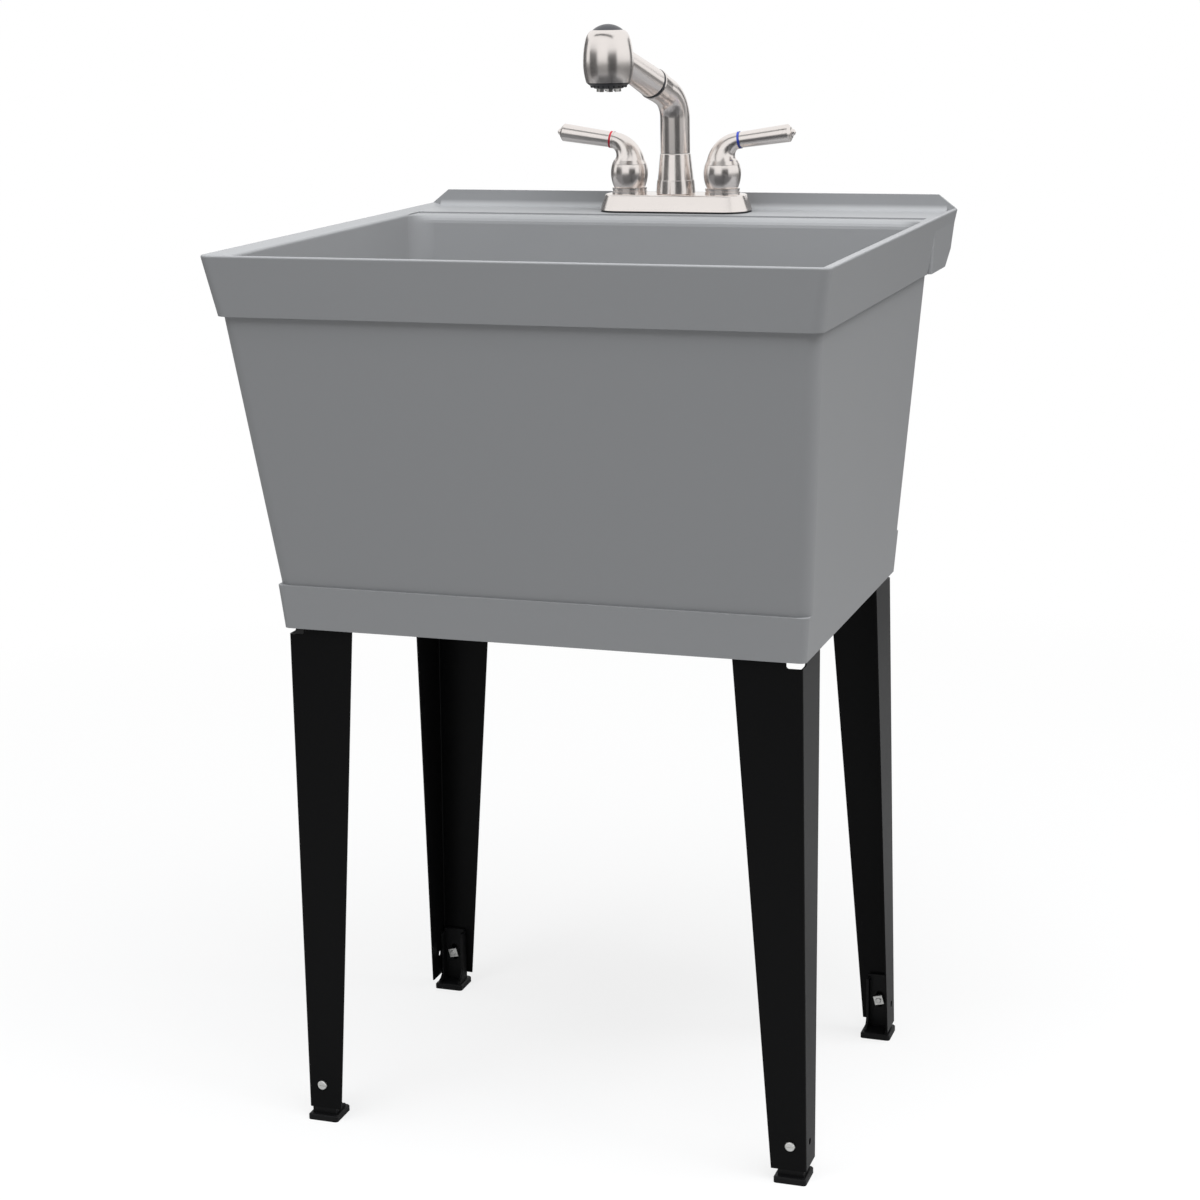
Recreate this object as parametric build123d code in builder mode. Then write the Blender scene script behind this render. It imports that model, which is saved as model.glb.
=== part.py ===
from build123d import *
import os
from math import atan, cos, radians, sin, tan

# Free-standing utility laundry sink: a moulded tub on four folded steel legs with
# levelling feet, a bolted drain and a centerset faucet with a pull-out sprayer.
# Millimetres. X right, Y back, Z up, origin on the floor under the middle of the tub.

os.makedirs("parts", exist_ok=True)

# ---------------------------------------------------------------- driving sizes
# tub
tub_width = 581.0
tub_depth = 550.0
rim_height = 860.0
apron_height = 56.0
apron_draft = 8.8            # how far the apron leans in from its top to its foot
apron_step = 3.6             # ledge between the foot of the apron and the wall
apron_corner = 9.0
rim_edge = 1.8               # rounding along the outside of the rim
rim_roll = 3.0               # rounding along the inside of the rim
rim_fall = 3.2               # the rim's top falls by this much towards the bowl
rim_side = 15.5              # from the rim's outside to the bowl, at the sides
rim_front = 16.5
wall = 4.5
wall_corner = 13.0
skirt_height = 42.0
skirt_bottom = 503.0
skirt_wall = 3.5
skirt_recess = 3.0           # the front wall stands this far behind the skirt
skirt_corner = 6.0
skirt_draft = 0.0845         # lean of the skirt, millimetres for each millimetre up
base_side = 36.8             # the base's foot stands this far inside the tub's widest line
base_front = 61.0            # the base starts this far behind the front of the rim
base_rear = 119.6            # and ends this far ahead of the back edge
back_wall_top = 89.8         # outer back wall, ahead of the back edge, at the apron foot
bowl_back = 91.0             # bowl's back, ahead of the back edge, at the rim
bowl_corner_front = 8.0
bowl_corner_rear = 22.0
floor_edge = 548.0
floor_low = 541.0
floor_thickness = 5.0
floor_round = 9.0

# rear shelf, its splash lip and the thicker shoulders at its two ends
shelf_depth = 79.0           # level shelf, from the back edge forward
shelf_step = 1.5
shelf_lip = 9.0              # rounding from the shelf down into the bowl
shelf_thickness = 5.0
splash_rise = 14.0
splash_run = 18.0            # the splash lip's ends slope in by this much
splash_wall = 3.5
splash_root = 6.5
shoulder_length = 107.0
shoulder_top = 1.0           # shoulders stand this far inside the rim's widest line
shoulder_foot = 4.8
shoulder_wall = 4.7
back_lean = 14.0             # back apron leans in by this much over its upper part
back_lean_height = 40.0
back_foot = 37.0             # and by this much at its foot
access_width = 300.0         # the back apron is cut short here, to reach the supplies
access_round = 8.0

# legs: folded sheet angles, all four the same
sheet = 1.5
leg_bend = 2.5
leg_top_flange = 64.8        # flange width where the leg leaves the skirt
leg_foot_flange = 33.9
leg_bottom = 12.4
leg_fit = 0.2                # clearance between a leg and its pocket
front_splay = 0.35           # degrees
rear_splay = 0.95
relief = 15.0                # corner cut-out at the leg's top
relief_drop = 6.5            # and how far it shows below the skirt
relief_round = 2.5
pocket_wall = 3.5
pocket_depth = 30.0

# levelling feet and their fasteners
screw_inset = 15.0           # hole centre from the leg's corner, on both flanges
screw_height = 37.0
screw_r = 3.0
screw_hole_r = 3.3
screw_head_r = 4.8
screw_head = 2.6
screw_slot = 1.2
screw_end = 1.2              # thread past the nut
nut_across = 9.6
nut_thickness = 4.5
nut_turn = 15.0
foot_travel = 12.0           # half of it up and half of it down from the screw
foot_pad = 31.5
foot_pad_thickness = 6.0
foot_pad_proud = 4.0
foot_pad_round = 3.0
foot_plate_width = 25.0
foot_plate = 3.5
foot_height = 64.0
foot_crown = 3.0
foot_web = 2.5
foot_web_depth = 18.0        # at the pad
foot_web_neck = 8.0          # and from here up
foot_web_flare = 14.0        # height of the flare between the two
seat_gap = 0.15              # between plates that slide on each other

# drain
drain_ahead = 30.0           # drain centre ahead of the middle of the tub
drain_flange_r = 32.0
drain_flange = 1.8
drain_recess = 2.0
drain_recess_r = 32.4
drain_flat = 42.0            # half of the level flat around the drain
drain_thread_r = 23.5
drain_throat_r = 20.5
drain_hole_r = 24.0
drain_body_length = 44.0
drain_bar = 2.0
drain_bars = 3
drain_grid_depth = 24.0
gasket_thickness = 3.0
washer_thickness = 1.0
locknut_r = 30.0
locknut_height = 9.0
locknut_lug = 5.0
locknut_lugs = 4
slip_nut_r = 27.5
slip_nut_height = 16.0
slip_nut_rib = 1.5
slip_nut_ribs = 8
tail_r = 19.05
tail_wall = 1.4
tail_collar = 2.0
tail_length = 36.0
tail_relief = 0.4             # turned down inside the slip nut
stopper_r = 24.0
stopper_brim = 3.0
stopper_plug = 12.0
stopper_play = 0.3
stopper_loop_r = 9.0
stopper_wire_r = 1.2

# faucet deck plate and the parts under it
handle_spacing = 101.6
plate_length = 162.0
plate_width = 58.0
plate_height = 16.5
plate_taper = 6.0
plate_corner = 25.0
plate_edge = 2.5
plate_wall = 3.0
faucet_setback = 39.0        # faucet axis ahead of the tub's back edge
faucet_gasket = 2.0
gasket_inset = 0.8
cup_r = 12.0
cup_fit = 0.2
cup_rise = 3.0               # valve cups above the deck plate
cartridge_bore_r = 9.0
shank_r = 10.3
shank_bore_r = 6.5
shank_drop = 62.0            # below the deck plate's seat
shank_end_r = 10.0           # plain end that takes the supply line
shank_end = 24.0
link_back = 19.0             # water link, behind the faucet's axis
link_size = 5.0
link_rise = 2.5
shank_hole_r = 13.0
hose_hole_r = 16.0
mount_nut_r = 16.0
mount_nut_height = 11.0
mount_nut_brim_r = 21.0
mount_nut_brim = 3.0

# handles
trim_r = 18.4
trim_height = 6.0
trim_groove = 0.8
bell_r = 19.4
bell_foot_r = 16.2
bell_widest = 15.0           # above the bell's foot
bell_height = 24.5
bell_seam_r = 18.2
bell_seam = 0.4
bell_bore_r = 11.0
cartridge_r = 10.0
cartridge_height = 22.0
stem_r = 4.0
stem_fit = 0.05
stem_grip = 9.0              # stem inside the handle
stem_root = 8.0              # stem inside the cartridge
neck_rise = 4.0
neck_turn_r = 21.0
neck_end_r = 8.3
neck_steps = 6
bead_r = 8.9                 # bead round the neck's end
bead_length = 1.6
set_screw_r = 2.0
set_screw_length = 8.0
set_screw_rise = 4.0
lever_rise = 8.0             # degrees
index_r = 8.9
index_length = 2.2
lever_root_r = 8.2
lever_tip_r = 9.2
lever_length = 53.0
lever_spigot_r = 4.0
lever_spigot = 8.0
finial_length = 6.5

# spout
spout_base_r = 20.4
spout_base_top_r = 15.9
collar_rise = 14.5
spout_r = 15.3
spout_seam = 41.5            # above the plate
spout_axis_height = 97.5     # where the two axes cross, above the plate
spout_rise = 25.0            # degrees above level
spout_heading = 19.0         # degrees from straight ahead, towards the left
spout_bend = 30.0
spout_mouth = 40.5           # mouth of the spout from the crossing of the axes
spout_mouth_r = 16.5
spout_flare = 14.0
journal_r = 12.5
journal_height = 20.0
journal_fit = 0.05
glide_ring = 0.6
hose_bore_r = 8.4
o_ring_r = 1.0
o_ring_heights = (5.0, 13.0)
keel_width = 14.0
keel_reach = 23.0
spout_nut_r = 15.5
spout_nut_height = 5.0
spout_stud_r = 11.0
spout_stud_fit = 0.2

# pull-out wand
dock_ring = 2.4
dock_ring_r = 16.1
dock_neck_r = 12.2
dock_neck_length = 19.5
dock_fit = 0.05
wand_root_r = 15.6
wand_neck_r = 13.6
wand_reach = 123.0           # head's axis from the crossing of the axes
wand_socket = 15.0           # wand's end from the head's axis
hose_thread_r = 7.5
hose_thread_length = 8.0
waterway_r = 4.5
head_r = 25.2
head_height = 51.5
head_top_r = 16.4
head_foot_r = 22.4
head_drop = 5.0              # head's middle below the crossing with the wand's axis
head_seat = 0.2
button_r = 15.2
button_dome = 5.8
button_skirt = 4.0
button_travel = 2.5
button_fit = 0.1
face_foot_r = 14.2
face_height = 5.8
face_plug_r = 17.0
face_plug = 5.0
aerator_r = 12.3
aerator_wall = 2.2
aerator_drop = 3.2
aerator_seat = 2.0
aerator_notches = 8
aerator_notch = 3.2
aerator_notch_depth = 2.6

# ---------------------------------------------------------------- worked-out places
front_y = -tub_depth / 2
back_y = tub_depth / 2
apron_foot = rim_height - apron_height
deck_z = rim_height - rim_fall
skirt_top = skirt_bottom + skirt_height
half_tub = tub_width / 2
half_base = half_tub - base_side
base_front_y = front_y + base_front
base_rear_y = back_y - base_rear
shoulder_start = back_y - shoulder_length
faucet_y = back_y - faucet_setback
floor_underside = floor_low - floor_thickness
drain_y = -drain_ahead
leg_corner_x = half_base - skirt_wall - leg_fit
leg_front_y = base_front_y + skirt_wall + leg_fit
leg_rear_y = base_rear_y - skirt_wall - leg_fit
plate_seat = deck_z + faucet_gasket
plate_top = plate_seat + plate_height
handle_x = handle_spacing / 2


def skirt_lean(z):
    """How much wider than its foot the skirt is at a height, on each side."""
    return (z - skirt_bottom) * skirt_draft


def rolled(z, top, radius):
    """How far an edge rounded from below a top face has rolled back at a height."""
    rise = z - (top - radius)
    if rise <= 0:
        return 0.0
    if rise >= radius:
        return radius
    return radius - (radius**2 - rise**2) ** 0.5


def between(low, high, share):
    """A value part of the way from one to another."""
    return low + (high - low) * share


def plan(z, half_width, y_front, y_rear, front_corner, rear_corner=None):
    """A level outline of the tub with rounded corners, at a height."""
    with BuildSketch(Plane.XY.offset(z)) as outline:
        with BuildLine():
            Polyline(
                (-half_width, y_front),
                (half_width, y_front),
                (half_width, y_rear),
                (-half_width, y_rear),
                close=True,
            )
        make_face()
        fillet(outline.vertices().group_by(Axis.Y)[0], front_corner)
        if rear_corner:
            fillet(outline.vertices().group_by(Axis.Y)[-1], rear_corner)
    return outline.sketch


def skirt_plan(z, inset, corner):
    """The skirt's outline at a height, moved in by an inset."""
    lean = skirt_lean(z) - inset
    half_width = half_base + lean
    return plan(z, half_width, base_front_y - lean, base_rear_y + lean, corner, corner)


def across(points, half_width):
    """A sketch in the YZ plane, at the left end of a run across the tub."""
    with BuildSketch(Plane.YZ.offset(-half_width)) as outline:
        with BuildLine():
            Polyline(*points, close=True)
        make_face()
    return outline.sketch


def disc(z, radius, x=0.0, y=0.0):
    """A level circle at a height."""
    with BuildSketch(Plane.XY.offset(z)) as outline:
        with Locations((x, y)):
            Circle(radius)
    return outline.sketch


def turned(points, plane):
    """A solid of revolution about a plane's second axis, from (radius, height) points."""
    with BuildSketch(plane) as outline:
        with BuildLine():
            Polyline(*points, close=True)
        make_face()
    return outline.sketch


def upright(x, y, z):
    """A vertical plane through a point, for profiles turned about the vertical there."""
    return Plane(origin=(x, y, z), x_dir=(1, 0, 0), z_dir=(0, -1, 0))


def vertical(x, y):
    """The vertical axis through a point."""
    return Axis((x, y, 0), (0, 0, 1))


# ---------------------------------------------------------------- leg
corners = {
    "front_left": (-1, -1),
    "front_right": (1, -1),
    "rear_left": (-1, 1),
    "rear_right": (1, 1),
}
leg_turns = {"front_left": 0, "front_right": 90, "rear_right": 180, "rear_left": 270}
splays = {-1: front_splay, 1: rear_splay}
leg_lines = {-1: leg_front_y, 1: leg_rear_y}

leg_low = leg_bottom - skirt_bottom
leg_high = floor_underside - skirt_bottom
flange_slope = (leg_top_flange - leg_foot_flange) / -leg_low
leg_spare = 6.0              # extra at both ends, cut off level once the leg leans
flange_low = leg_foot_flange - flange_slope * leg_spare
flange_high = leg_top_flange + flange_slope * (leg_high + leg_spare)
relief_top = leg_high + leg_spare


def corner_frame(corner):
    """Frame at a leg's outer corner, with its flanges along +X and +Y."""
    side, end = corners[corner]
    lean = Location((side * leg_corner_x, leg_lines[end], skirt_bottom), (0, -side * splays[end], 0))
    return lean * Location((0, 0, 0), (0, 0, leg_turns[corner]))


def flange(plane):
    """One tapered flange of the leg, with its fastener hole."""
    with BuildSketch(plane) as blank:
        with BuildLine():
            Polyline(
                (0, leg_low - leg_spare),
                (flange_low, leg_low - leg_spare),
                (flange_high, relief_top),
                (0, relief_top),
                close=True,
            )
        make_face()
        with Locations((screw_inset, screw_height - skirt_bottom)):
            Circle(screw_hole_r, mode=Mode.SUBTRACT)
    return blank.sketch


def relief_cut(plane):
    """The cut-out at the top of the leg's corner, in one flange."""
    with BuildSketch(plane) as opening:
        with BuildLine():
            Polyline(
                (-leg_bend, -relief_drop),
                (relief, -relief_drop),
                (relief, relief_top + 1),
                (-leg_bend, relief_top + 1),
                close=True,
            )
        make_face()
        fillet(opening.vertices().group_by(Axis.Y)[0].sort_by(Axis.X)[-1], relief_round)
    return opening.sketch


with BuildPart() as leg_blank:
    extrude(flange(Plane.XZ), -sheet)
    extrude(flange(Plane.YZ), sheet)
    fillet(leg_blank.edges().filter_by(Axis.Z).sort_by(Axis.X)[-1], leg_bend - sheet)
    fillet(leg_blank.edges().filter_by(Axis.Z).sort_by(Axis.X)[0], leg_bend)
    extrude(relief_cut(Plane.XZ.offset(leg_bend)), -3 * leg_bend, mode=Mode.SUBTRACT)
    extrude(relief_cut(Plane.YZ.offset(-leg_bend)), 3 * leg_bend, mode=Mode.SUBTRACT)

pieces = {}
for corner in corners:
    with BuildPart() as leg:
        add(leg_blank.part.moved(corner_frame(corner)))
        split(bisect_by=Plane.XY.offset(floor_underside), keep=Keep.BOTTOM)
        split(bisect_by=Plane.XY.offset(leg_bottom), keep=Keep.TOP)
    pieces["leg_" + corner] = leg

# the pocket that takes a leg's two tabs: a block round them and the slots in it
pocket_start = leg_fit + 2 * skirt_wall
pocket_span = flange_high + pocket_wall + pocket_start
pocket_thick = sheet + leg_fit + pocket_wall + pocket_start
slot_thick = sheet + 2 * leg_fit
slot_start = relief - leg_fit
slot_span = flange_high + leg_fit - slot_start
with BuildPart() as pocket_block:
    with BuildSketch(Plane.XY.offset(leg_high - pocket_depth)):
        with Locations((-pocket_start, -pocket_start)):
            Rectangle(pocket_span, pocket_thick, align=(Align.MIN, Align.MIN))
            Rectangle(pocket_thick, pocket_span, align=(Align.MIN, Align.MIN))
    extrude(amount=pocket_depth + leg_spare)
with BuildPart() as pocket_slots:
    with BuildSketch(Plane.XY.offset(leg_high - pocket_depth - 1)):
        with Locations((slot_start, -leg_fit)):
            Rectangle(slot_span, slot_thick, align=(Align.MIN, Align.MIN))
        with Locations((-leg_fit, slot_start)):
            Rectangle(slot_thick, slot_span, align=(Align.MIN, Align.MIN))
    extrude(amount=pocket_depth + leg_spare)

# ---------------------------------------------------------------- tub
wall_half = half_tub - apron_draft - apron_step
wall_front = front_y + apron_draft + apron_step
wall_rear = back_y - back_wall_top
crease_lean = skirt_lean(skirt_top)
crease_half = half_base + crease_lean
crease_front = base_front_y - crease_lean + skirt_recess
crease_rear = base_rear_y + crease_lean

# a rounded edge on a leaning side ends up narrower, so the rim starts out this much wider
rim_spread = rim_edge * (1 / tan(radians(45) - atan(apron_draft / apron_height) / 2) - 1)

with BuildPart() as apron:
    loft(
        [
            plan(
                apron_foot,
                half_tub - apron_draft,
                front_y + apron_draft,
                back_y,
                apron_corner + apron_draft / 4,
            ),
            plan(rim_height, half_tub + rim_spread, front_y - rim_spread, back_y, apron_corner),
        ]
    )
    rim_edges = apron.faces().sort_by(Axis.Z)[-1].edges().sort_by(Axis.Y)[:-1]
    fillet(rim_edges, rim_edge)

with BuildPart() as shoulders:
    loft(
        [
            plan(apron_foot, half_tub - shoulder_foot, shoulder_start, back_y, rim_roll),
            plan(rim_height, half_tub - shoulder_top, shoulder_start, back_y, rim_roll),
        ]
    )
    rim_edges = shoulders.faces().sort_by(Axis.Z)[-1].edges().sort_by(Axis.Y)[:-1]
    fillet(rim_edges, rim_edge - shoulder_top)


def bowl_plan(z, half_width, y_front, y_rear):
    """The bowl's outline at a height, with its upper edges rolled outward."""
    side_roll = rolled(z, deck_z, rim_roll)
    back_roll = rolled(z, deck_z - shelf_step, shelf_lip)
    return plan(
        z,
        half_width + side_roll,
        y_front - side_roll,
        y_rear + back_roll,
        bowl_corner_front + side_roll,
        bowl_corner_rear + back_roll,
    )


def upper_bowl(z):
    """The bowl's outline between the foot of the apron and the rim."""
    share = (z - apron_foot) / apron_height
    half_width = between(wall_half - wall, half_tub - rim_side, share)
    y_front = between(wall_front + wall, front_y + rim_front, share)
    y_rear = between(wall_rear - wall, back_y - bowl_back, share)
    return bowl_plan(z, half_width, y_front, y_rear)


roll_angles = (0, 18, 36, 54, 72, 90)
side_rolls = [deck_z - rim_roll * (1 - sin(radians(a))) for a in roll_angles]
back_rolls = [deck_z - shelf_step - shelf_lip * (1 - sin(radians(a))) for a in roll_angles]
roll_heights = sorted(set(side_rolls + back_rolls))
floor_share = (floor_edge - skirt_top) / (apron_foot - skirt_top)

with BuildPart() as bowl:
    floor_outline = bowl_plan(
        floor_edge,
        between(crease_half, wall_half, floor_share) - wall,
        between(crease_front, wall_front, floor_share) + wall,
        between(crease_rear, wall_rear, floor_share) - wall,
    )
    flat = plan(floor_low, drain_flat, drain_y - drain_flat, drain_y + drain_flat, rim_roll, rim_roll)
    loft([floor_outline, upper_bowl(apron_foot)])
    loft([flat, floor_outline])
    fillet(bowl.edges().filter_by_position(Axis.Z, floor_edge - 0.01, floor_edge + 0.01), floor_round)
    loft([upper_bowl(z) for z in [apron_foot, *roll_heights]], ruled=True)

with BuildPart() as underside:
    loft(
        [
            skirt_plan(skirt_bottom - 1, skirt_wall, skirt_corner / 2),
            skirt_plan(floor_underside, skirt_wall, skirt_corner / 2),
        ]
    )
    for corner in corners:
        add(pocket_block.part.moved(corner_frame(corner)), mode=Mode.SUBTRACT)
    for corner in corners:
        add(pocket_slots.part.moved(corner_frame(corner)))
    split(bisect_by=Plane.XY.offset(floor_underside), keep=Keep.BOTTOM)

with BuildPart() as tub:
    add(shoulders.part)
    add(apron.part)
    loft(
        [
            plan(skirt_top, crease_half, crease_front, crease_rear, wall_corner, wall_corner),
            plan(apron_foot, wall_half, wall_front, wall_rear, wall_corner, wall_corner),
        ]
    )
    loft([skirt_plan(skirt_bottom, 0, skirt_corner), skirt_plan(skirt_top, 0, skirt_corner)])
    # splash lip along the back, with its rounded root
    with BuildSketch(Plane.XZ.offset(-back_y)):
        with BuildLine():
            Polyline(
                (-half_tub + shoulder_top, rim_height - rim_edge),
                (half_tub - shoulder_top, rim_height - rim_edge),
                (half_tub - shoulder_top, rim_height),
                (half_tub - shoulder_top - splash_run, rim_height + splash_rise),
                (-half_tub + shoulder_top + splash_run, rim_height + splash_rise),
                (-half_tub + shoulder_top, rim_height),
                close=True,
            )
        make_face()
    extrude(amount=splash_wall)
    # the rim's fall towards the bowl, and the shelf on the same level
    root_y = back_y - splash_wall
    bowl_half = half_tub - rim_side
    loft(
        [
            plan(
                deck_z,
                bowl_half + rim_roll,
                front_y + rim_front - rim_roll,
                root_y,
                bowl_corner_front + rim_roll,
            ),
            plan(rim_height, half_tub - rim_edge, front_y + rim_edge, root_y, apron_corner - rim_edge),
        ],
        mode=Mode.SUBTRACT,
    )
    root_half = half_tub - shoulder_top - splash_run / 2
    with BuildSketch(Plane.YZ.offset(-root_half)):
        with BuildLine():
            Line((root_y - splash_root, deck_z), (root_y, deck_z))
            Line((root_y, deck_z), (root_y, deck_z + splash_root))
            ThreePointArc(
                (root_y, deck_z + splash_root),
                (
                    root_y - splash_root * (1 - sin(radians(45))),
                    deck_z + splash_root * (1 - cos(radians(45))),
                ),
                (root_y - splash_root, deck_z),
            )
        make_face()
    extrude(amount=2 * root_half)
    # bowl, the step down from the shelf, and the lean of the back apron
    add(bowl.part, mode=Mode.SUBTRACT)
    shelf_front_y = back_y - shelf_depth
    step = across(
        [
            (shelf_front_y - bowl_corner_rear - shelf_lip, deck_z - shelf_step),
            (shelf_front_y, deck_z - shelf_step),
            (shelf_front_y, deck_z + 1),
            (shelf_front_y - bowl_corner_rear - shelf_lip, deck_z + 1),
        ],
        bowl_half,
    )
    extrude(step, 2 * bowl_half, mode=Mode.SUBTRACT)
    behind = across(
        [
            (back_y, rim_height - rim_edge),
            (back_y - back_lean, rim_height - back_lean_height),
            (back_y - back_foot, apron_foot),
            (back_y - back_foot, apron_foot - 1),
            (back_y + 1, apron_foot - 1),
            (back_y + 1, rim_height - rim_edge),
        ],
        half_tub,
    )
    extrude(behind, tub_width, mode=Mode.SUBTRACT)
    # hollow under the shelf
    shelf_under = deck_z - shelf_thickness
    lean_wall = wall + shelf_thickness / 10
    hollow = across(
        [
            (back_y - bowl_back + wall, shelf_under),
            (back_y - lean_wall, shelf_under),
            (back_y - back_lean - lean_wall, rim_height - back_lean_height),
            (back_y - back_foot - shelf_step, apron_foot),
            (back_y - back_foot - shelf_step, apron_foot - 1),
            (wall_rear, apron_foot - 1),
            (wall_rear, apron_foot),
        ],
        half_tub - shoulder_foot - shoulder_wall,
    )
    extrude(hollow, tub_width - 2 * (shoulder_foot + shoulder_wall), mode=Mode.SUBTRACT)
    with BuildSketch(Plane.XZ.offset(-back_y - 1)) as access:
        with BuildLine():
            Polyline(
                (-access_width / 2, apron_foot - 1),
                (access_width / 2, apron_foot - 1),
                (access_width / 2, rim_height - back_lean_height),
                (-access_width / 2, rim_height - back_lean_height),
                close=True,
            )
        make_face()
        fillet(access.vertices().group_by(Axis.Y)[-1], access_round)
    extrude(amount=back_foot + lean_wall, mode=Mode.SUBTRACT)
    # hollow under the floor, with the pockets for the legs
    add(underside.part, mode=Mode.SUBTRACT)
    # openings
    extrude(disc(floor_underside - 1, drain_hole_r, y=drain_y), floor_thickness + 2, mode=Mode.SUBTRACT)
    extrude(
        disc(floor_low - drain_recess, drain_recess_r, y=drain_y),
        drain_recess + 1,
        mode=Mode.SUBTRACT,
    )
    for x, radius in ((-handle_x, shank_hole_r), (0, hose_hole_r), (handle_x, shank_hole_r)):
        extrude(disc(shelf_under - 1, radius, x, faucet_y), shelf_thickness + 2, mode=Mode.SUBTRACT)
pieces["tub"] = tub

# ---------------------------------------------------------------- levelling feet
plate_low = foot_pad_thickness
slot_half = screw_hole_r
plate_back = seat_gap + foot_plate
foot_reach = sheet + foot_pad_proud
web_top = foot_height - foot_crown
nut_start = plate_back + seat_gap


def foot_frame(corner):
    """Frame on the floor under a foot's screw, at the flange's inner face, +Y inward."""
    side, end = corners[corner]
    drift = (skirt_bottom - screw_height) * tan(radians(splays[end]))
    x = side * (leg_corner_x - screw_inset + drift)
    y = leg_lines[end] - end * sheet
    return Location((x, y, 0), (0, 0, 90 * (1 + end)))


with BuildPart() as foot_blank:
    with BuildSketch(Plane.XY):
        with Locations((0, foot_pad / 2 - foot_reach)):
            RectangleRounded(foot_pad, foot_pad, foot_pad_round)
    extrude(amount=foot_pad_thickness)
    chamfer(foot_blank.faces().sort_by(Axis.Z)[-1].edges(), foot_pad_thickness / 5)
    with BuildSketch(Plane.XZ.offset(-seat_gap)) as foot_face:
        with BuildLine():
            Polyline(
                (-foot_plate_width / 2, plate_low / 2),
                (foot_plate_width / 2, plate_low / 2),
                (foot_plate_width / 2, foot_height),
                (-foot_plate_width / 2, foot_height),
                close=True,
            )
        make_face()
        fillet(foot_face.vertices().group_by(Axis.Y)[-1], foot_crown)
        with Locations((0, screw_height)):
            SlotCenterToCenter(foot_travel, 2 * slot_half, rotation=90, mode=Mode.SUBTRACT)
    extrude(amount=-foot_plate)
    for x in (-foot_plate_width / 2, foot_plate_width / 2 - foot_web):
        with BuildSketch(Plane.YZ.offset(x)):
            with BuildLine():
                Polyline(
                    (plate_back + foot_web_neck, plate_low + foot_web_flare),
                    (plate_back + foot_web_neck, web_top),
                    (plate_back - foot_web / 2, web_top),
                    (plate_back - foot_web / 2, plate_low / 2),
                    (plate_back + foot_web_depth, plate_low / 2),
                    (plate_back + foot_web_depth, plate_low + foot_web),
                )
                TangentArc(
                    (plate_back + foot_web_neck, plate_low + foot_web_flare),
                    (plate_back + foot_web_depth, plate_low + foot_web),
                    tangent=(0, -1),
                )
            make_face()
        extrude(amount=foot_web)

with BuildPart() as screw_blank:
    screw_plane = Plane(origin=(0, 0, screw_height), x_dir=(1, 0, 0), z_dir=(0, 1, 0))
    with BuildSketch(screw_plane.offset(-sheet - screw_head)):
        Circle(screw_head_r)
    extrude(amount=screw_head)
    fillet(screw_blank.faces().sort_by(Axis.Y)[0].edges(), screw_head / 2)
    with BuildSketch(screw_plane.offset(-sheet - screw_head)):
        Rectangle(3 * screw_head_r, screw_slot)
    extrude(amount=screw_head / 2, mode=Mode.SUBTRACT)
    with BuildSketch(screw_plane.offset(-sheet)):
        Circle(screw_r)
    extrude(amount=sheet + nut_start + nut_thickness + screw_end)
    chamfer(screw_blank.faces().sort_by(Axis.Y)[-1].edges(), screw_end / 2)

with BuildPart() as nut_blank:
    with BuildSketch(screw_plane.offset(nut_start)):
        Rectangle(nut_across, nut_across, rotation=nut_turn)
        Circle(screw_r, mode=Mode.SUBTRACT)
    extrude(amount=nut_thickness)

for corner in corners:
    with BuildPart() as foot:
        add(foot_blank.part.moved(foot_frame(corner)))
    pieces["foot_" + corner] = foot
with BuildPart() as foot_screws:
    for corner in corners:
        add(screw_blank.part.moved(foot_frame(corner)))
pieces["foot_screws"] = foot_screws
with BuildPart() as foot_nuts:
    for corner in corners:
        add(nut_blank.part.moved(foot_frame(corner)))
pieces["foot_nuts"] = foot_nuts

# ---------------------------------------------------------------- drain
drain_axis = vertical(0, drain_y)
flange_seat = floor_low - drain_recess
flange_top = flange_seat + drain_flange
body_end = flange_seat - drain_body_length
gasket_low = floor_underside - gasket_thickness
washer_low = gasket_low - washer_thickness
locknut_low = washer_low - locknut_height
collar_r = drain_thread_r - 1.0
slip_low = body_end - tail_collar - drain_bar
slip_top = slip_low + slip_nut_height


def ring(z, outer, inner, x=0.0, y=0.0):
    """A level ring-shaped outline at a height."""
    with BuildSketch(Plane.XY.offset(z)) as outline:
        with Locations((x, y)):
            Circle(outer)
            Circle(inner, mode=Mode.SUBTRACT)
    return outline.sketch


with BuildPart() as drain_strainer:
    throat_mouth = drain_throat_r + drain_flange
    profile = turned(
        [
            (drain_throat_r, body_end),
            (drain_thread_r, body_end),
            (drain_thread_r, flange_seat),
            (drain_flange_r, flange_seat),
            (drain_flange_r - drain_flange / 2, flange_top),
            (throat_mouth + drain_flange, flange_top),
            (throat_mouth, flange_top - drain_flange / 2),
            (drain_throat_r, flange_seat - 2 * drain_flange),
        ],
        upright(0, drain_y, 0),
    )
    revolve(profile, drain_axis)
    bar_pitch = 2 * drain_throat_r / (drain_bars + 1)
    with BuildSketch(Plane.XY.offset(flange_seat - drain_grid_depth)) as grid:
        with Locations((0, drain_y)):
            with GridLocations(bar_pitch, 0, drain_bars, 1):
                Rectangle(drain_bar, 2 * drain_throat_r)
            with GridLocations(0, bar_pitch, 1, drain_bars):
                Rectangle(2 * drain_throat_r, drain_bar)
        with Locations((0, drain_y)):
            Circle(drain_throat_r + drain_bar / 2, mode=Mode.INTERSECT)
    extrude(amount=drain_bar)
pieces["drain_strainer"] = drain_strainer

with BuildPart() as drain_gasket:
    extrude(ring(gasket_low, locknut_r, drain_thread_r, y=drain_y), gasket_thickness)
pieces["drain_gasket"] = drain_gasket

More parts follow.
